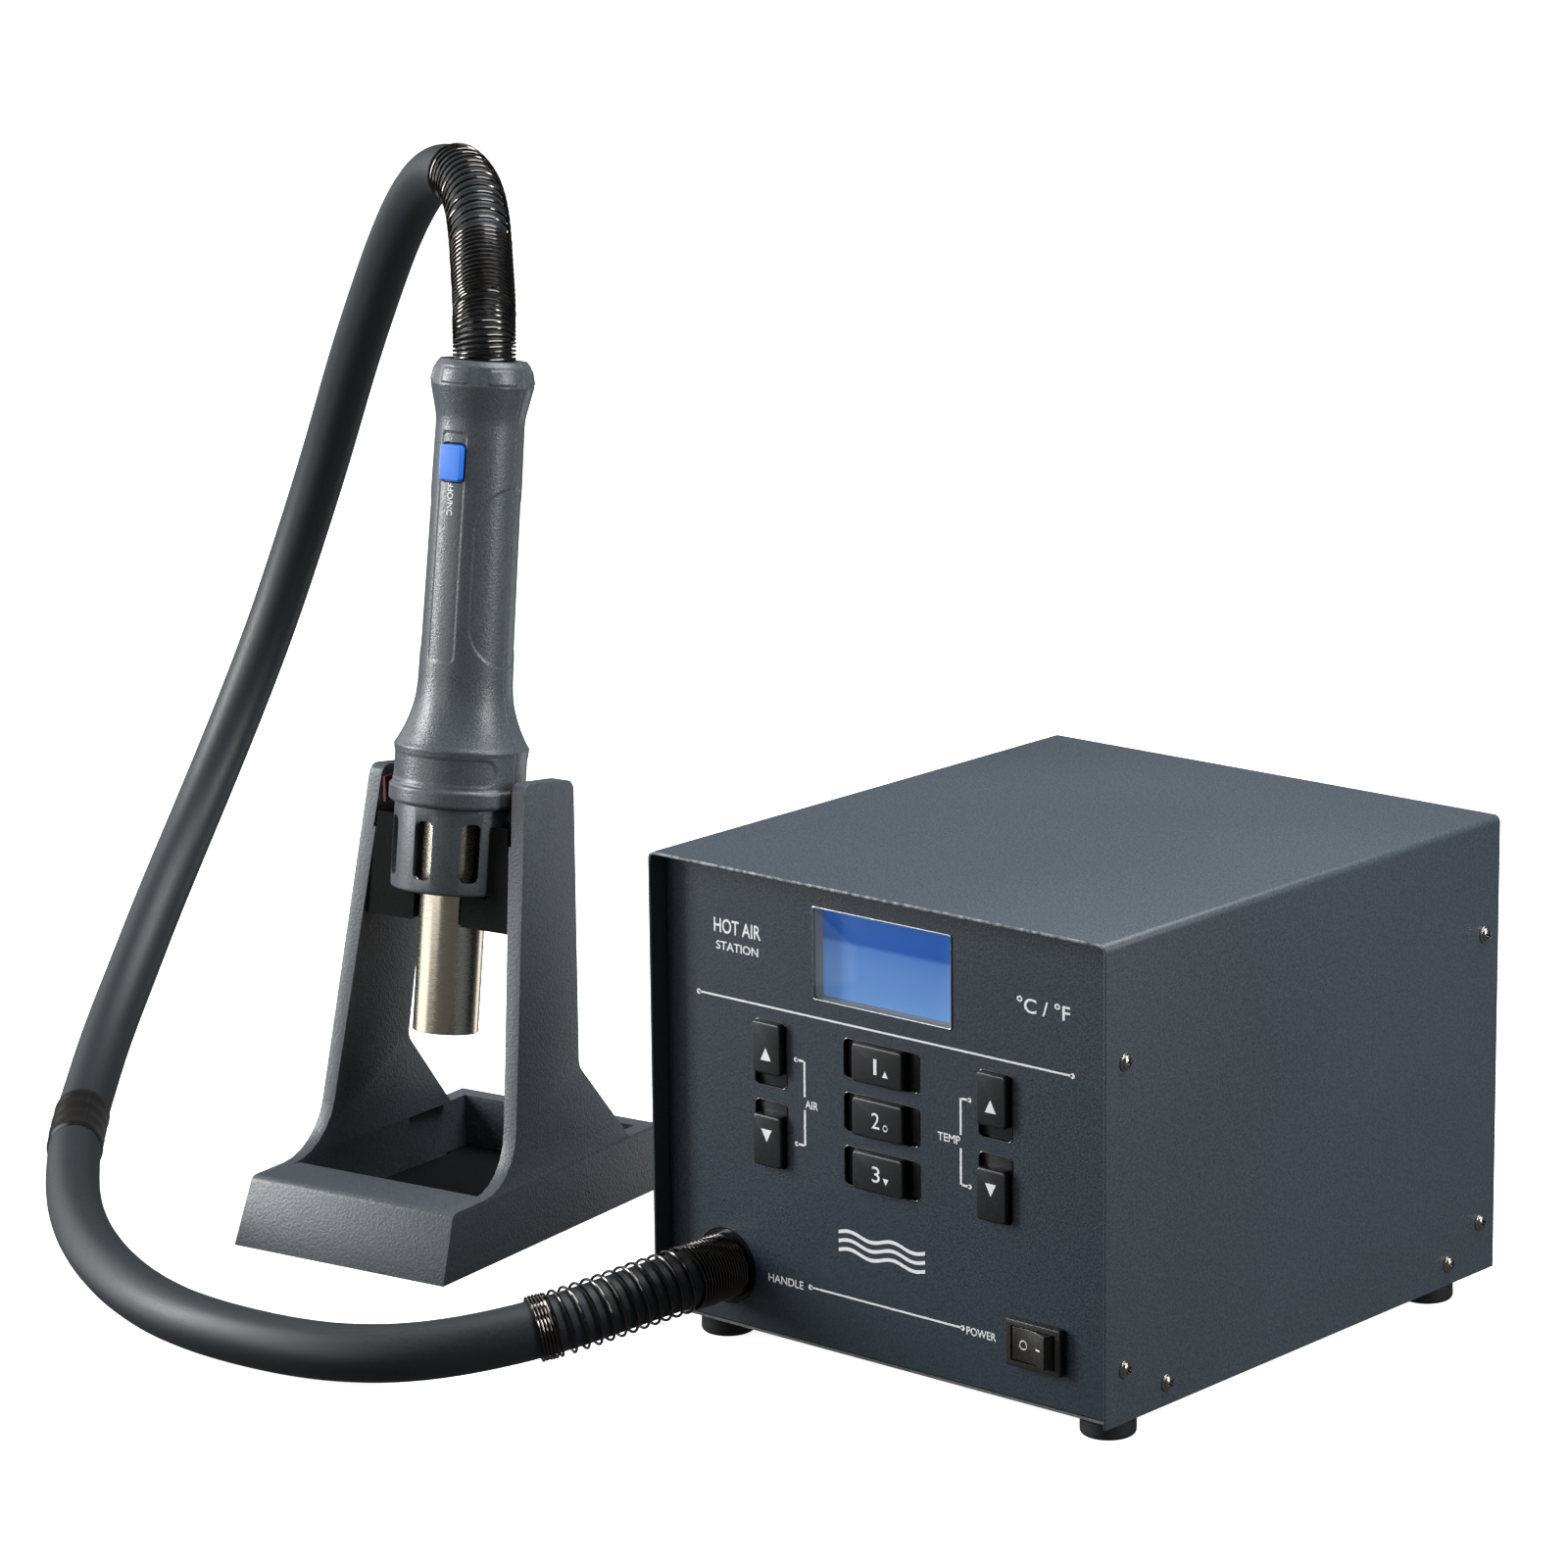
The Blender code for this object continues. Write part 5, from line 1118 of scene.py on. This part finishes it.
def inside_rounded(u, s, half_u, half_s, corner):
    """Signed distance to a rounded rectangle centred on 0, 0."""
    a = np.abs(u) - half_u + corner
    b = np.abs(s) - half_s + corner
    return np.hypot(np.maximum(a, 0), np.maximum(b, 0)) + np.minimum(np.maximum(a, b), 0) - corner


def turned_from(angle, centre):
    """Angle measured from a centre, between -pi and pi."""
    return (angle - centre + math.pi) % (2 * math.pi) - math.pi


def handle_radius(along):
    """Plain outer radius of the handle: smooth along the grip, crisp at the collar and the lip."""
    heights = [s for _, s in reversed(HANDLE_OUTER)]
    radii = [r for r, _ in reversed(HANDLE_OUTER)]
    fine = np.linspace(heights[0], heights[-1], 3061)
    plain = np.interp(fine, heights, radii)

    def averaged(window):
        weights = np.hanning(window)
        padded = np.pad(plain, window // 2, mode="edge")
        return np.convolve(padded, weights / weights.sum(), mode="valid")[:len(fine)]

    grip = soft_step(np.abs(fine - 0.1620) - 0.0590, 0.0010)
    mixed = grip * averaged(181) + (1 - grip) * averaged(13)
    return np.interp(along, fine, mixed)


def handle_relief(angle, along):
    """How far the handle's surface stands out or in, from its moulded panels and parting line."""
    front = turned_from(angle, -math.pi / 2)
    relief = -0.00035 * soft_step(inside_rounded(0.0158 * front, along - 0.1710, 0.0052, 0.0395, 0.0018), 0.00022)
    well = inside_rounded(0.0156 * front, along - BUTTON_ALONG, 0.0050, 0.0067, 0.0018)
    relief = relief - 0.0012 * soft_step(well, 0.00015)
    for centre in (0.0, math.pi):
        across = 0.0160 * turned_from(angle, centre)
        grip = inside_rounded(across, along - 0.1610, 0.0152, 0.0310, 0.0150)
        relief = relief - 0.00025 * soft_step(grip, 0.00025)
        relief = relief - 0.00020 * soft_step(np.abs(0.0165 * turned_from(angle, centre)) - 0.0002, 0.0002)
    for centre in (-math.pi / 2, math.pi / 2):
        pad = inside_rounded(0.0233 * turned_from(angle, centre), along - 0.0945, 0.0276, 0.0046, 0.0046)
        relief = relief - 0.00035 * soft_step(pad, 0.00025)
    for i in range(6):
        rib = inside_rounded(0.0171 * turned_from(angle, -math.pi / 2 + i * math.pi / 3), along - 0.2298, 0.0052, 0.0024, 0.0008)
        relief = relief + 0.00045 * soft_step(rib, 0.00022)
    return relief


def shell_mesh(name, first, last):
    """One half of the handle, between two angles, closed at its parting faces."""
    columns, rows = 132, 384
    angles = np.linspace(first, last, columns)
    heights = np.linspace(0.0820, 0.2350, rows)
    angle, along = np.meshgrid(angles, heights, indexing="ij")
    radius = handle_radius(along) + handle_relief(angle, along)
    outer = np.stack((radius * np.cos(angle), radius * np.sin(angle), along), axis=2)
    inner_profile = np.array([(r, s) for r, s in HANDLE_INNER[::-1]])
    ring = np.stack((np.cos(angles)[:, None] * inner_profile[:, 0], np.sin(angles)[:, None] * inner_profile[:, 0],
                     np.broadcast_to(inner_profile[:, 1], (columns, len(inner_profile)))), axis=2)
    points = np.concatenate((outer, ring), axis=1)
    count = points.shape[1]
    faces = []
    for i in range(columns - 1):
        for k in range(count):
            m = (k + 1) % count
            faces.append((i * count + k, i * count + m, (i + 1) * count + m, (i + 1) * count + k))
    faces.append(tuple(range(count)))
    faces.append(tuple((columns - 1) * count + k for k in reversed(range(count))))
    mesh = bpy.data.meshes.new(name)
    mesh.from_pydata(points.reshape(-1, 3).tolist(), [], faces)
    return smoothed(mesh, 50.0)


def make_handle():
    """The two handle halves, the button and its label."""
    gap = 0.004
    front = shell_mesh("handle_front", -math.pi + gap, -gap)
    new_piece("handle_front", front, HANDLE, "handle", "handpiece", ("handle_front_shell",))
    rear = shell_mesh("handle_rear", gap, math.pi - gap)
    new_piece("handle_rear", rear, HANDLE, "handle", "handpiece", ("handle_rear_shell",))

    size = (0.0090, 0.0124)
    cap = extruded("button_cap", rectangle((0.0, BUTTON_ALONG), size, 0.0015), -0.0168, -0.0110, "front", 0.0005, 4)
    new_piece("button_cap", cap, HANDLE, "button", "handle_button", ("handle_button",))

    label = lettered("ON/OFF", (0.0, 0.0), 0.0114, 0.0023, 0.010)
    label.transform(Matrix.Translation((0.0, 0.0, LABEL_ALONG)) @ Matrix.Rotation(-math.pi / 2, 4, "Y"))
    surface = float(handle_radius(LABEL_ALONG)) - 0.00035
    for vertex in label.vertices:
        vertex.co.y -= math.sqrt(surface**2 - vertex.co.x**2)
    new_piece("button_label", label, HANDLE, "print", "handpiece")


def make_guard():
    """The slotted guard round the nozzle."""
    profile = rounded_profile(
        ((0.0206, 0.0950, 0.0), (0.0206, 0.0817, 0.0003), (0.0220, 0.0817, 0.0005), (0.0220, 0.0515, 0.0012),
         (0.0118, 0.0515, 0.0003), (0.0118, 0.0535, 0.0002), (0.0202, 0.0535, 0.0), (0.0202, 0.0801, 0.0),
         (0.0188, 0.0817, 0.0), (0.0188, 0.0950, 0.0))
    )
    mesh = turned("guard", profile, 128)
    for i in range(8):
        turn = Matrix.Rotation(math.radians(4.0 + 45.0 * i), 4, "Z")
        slot = extruded("slot", rectangle((0.0, 0.0665), (0.0071, 0.0206), 0.0024), -0.0260, -0.0160, "front")
        mesh = combined(mesh, moved(slot, turn), "DIFFERENCE")
    mesh = eased(mesh, 0.00045, 60.0, 2)
    mesh.name = "guard"
    new_piece("guard", mesh, HANDLE, "handle", "handpiece", ("nozzle_guard",))


def make_nozzle():
    profile = rounded_profile(
        ((0.0115, 0.0880, 0.0), (0.0115, 0.0016, 0.0003), (0.0107, 0.0016, 0.0003), (0.0107, 0.0880, 0.0))
    )
    mesh = turned("nozzle_barrel", profile, 96)
    new_piece("nozzle_barrel", mesh, HANDLE, "nozzle", "handpiece", ("nozzle_tube",))


# ---------------------------------------------------------------- the other nodes


CAD_FINISH = {
    "panel": ("front_panel", "rear_panel"),
    "zinc": ("base_plate",),
    "rim": ("hose_outlet",),
    "insert": ("cradle_left", "cradle_right", "hose_coupling"),
    "red": ("stand_pad_left", "stand_pad_right"),
    "ceramic": ("heater_core",),
    "board": ("control_board", "power_board", "button_board"),
    "copper": ("transformer",),
    "aluminium": ("heat_sink", "blower_motor"),
    "grey_plastic": ("blower_housing", "blower_impeller", "outlet_duct"),
    "switch": ("mains_inlet",),
}


def finish_cad_nodes():
    for material, nodes in CAD_FINISH.items():
        for node in nodes:
            repaint(node, material)
    for node in ("cradle_left", "cradle_right", "mains_inlet"):
        soften(node, 0.0004)
    for node in ("stand_pad_left", "stand_pad_right"):
        soften(node, 0.0002)


make_hose()
make_cover()
make_keys()
make_prints()
make_display()
make_switch()
make_screws()
make_feet()
make_stand()
make_handle()
make_guard()
make_nozzle()
finish_cad_nodes()
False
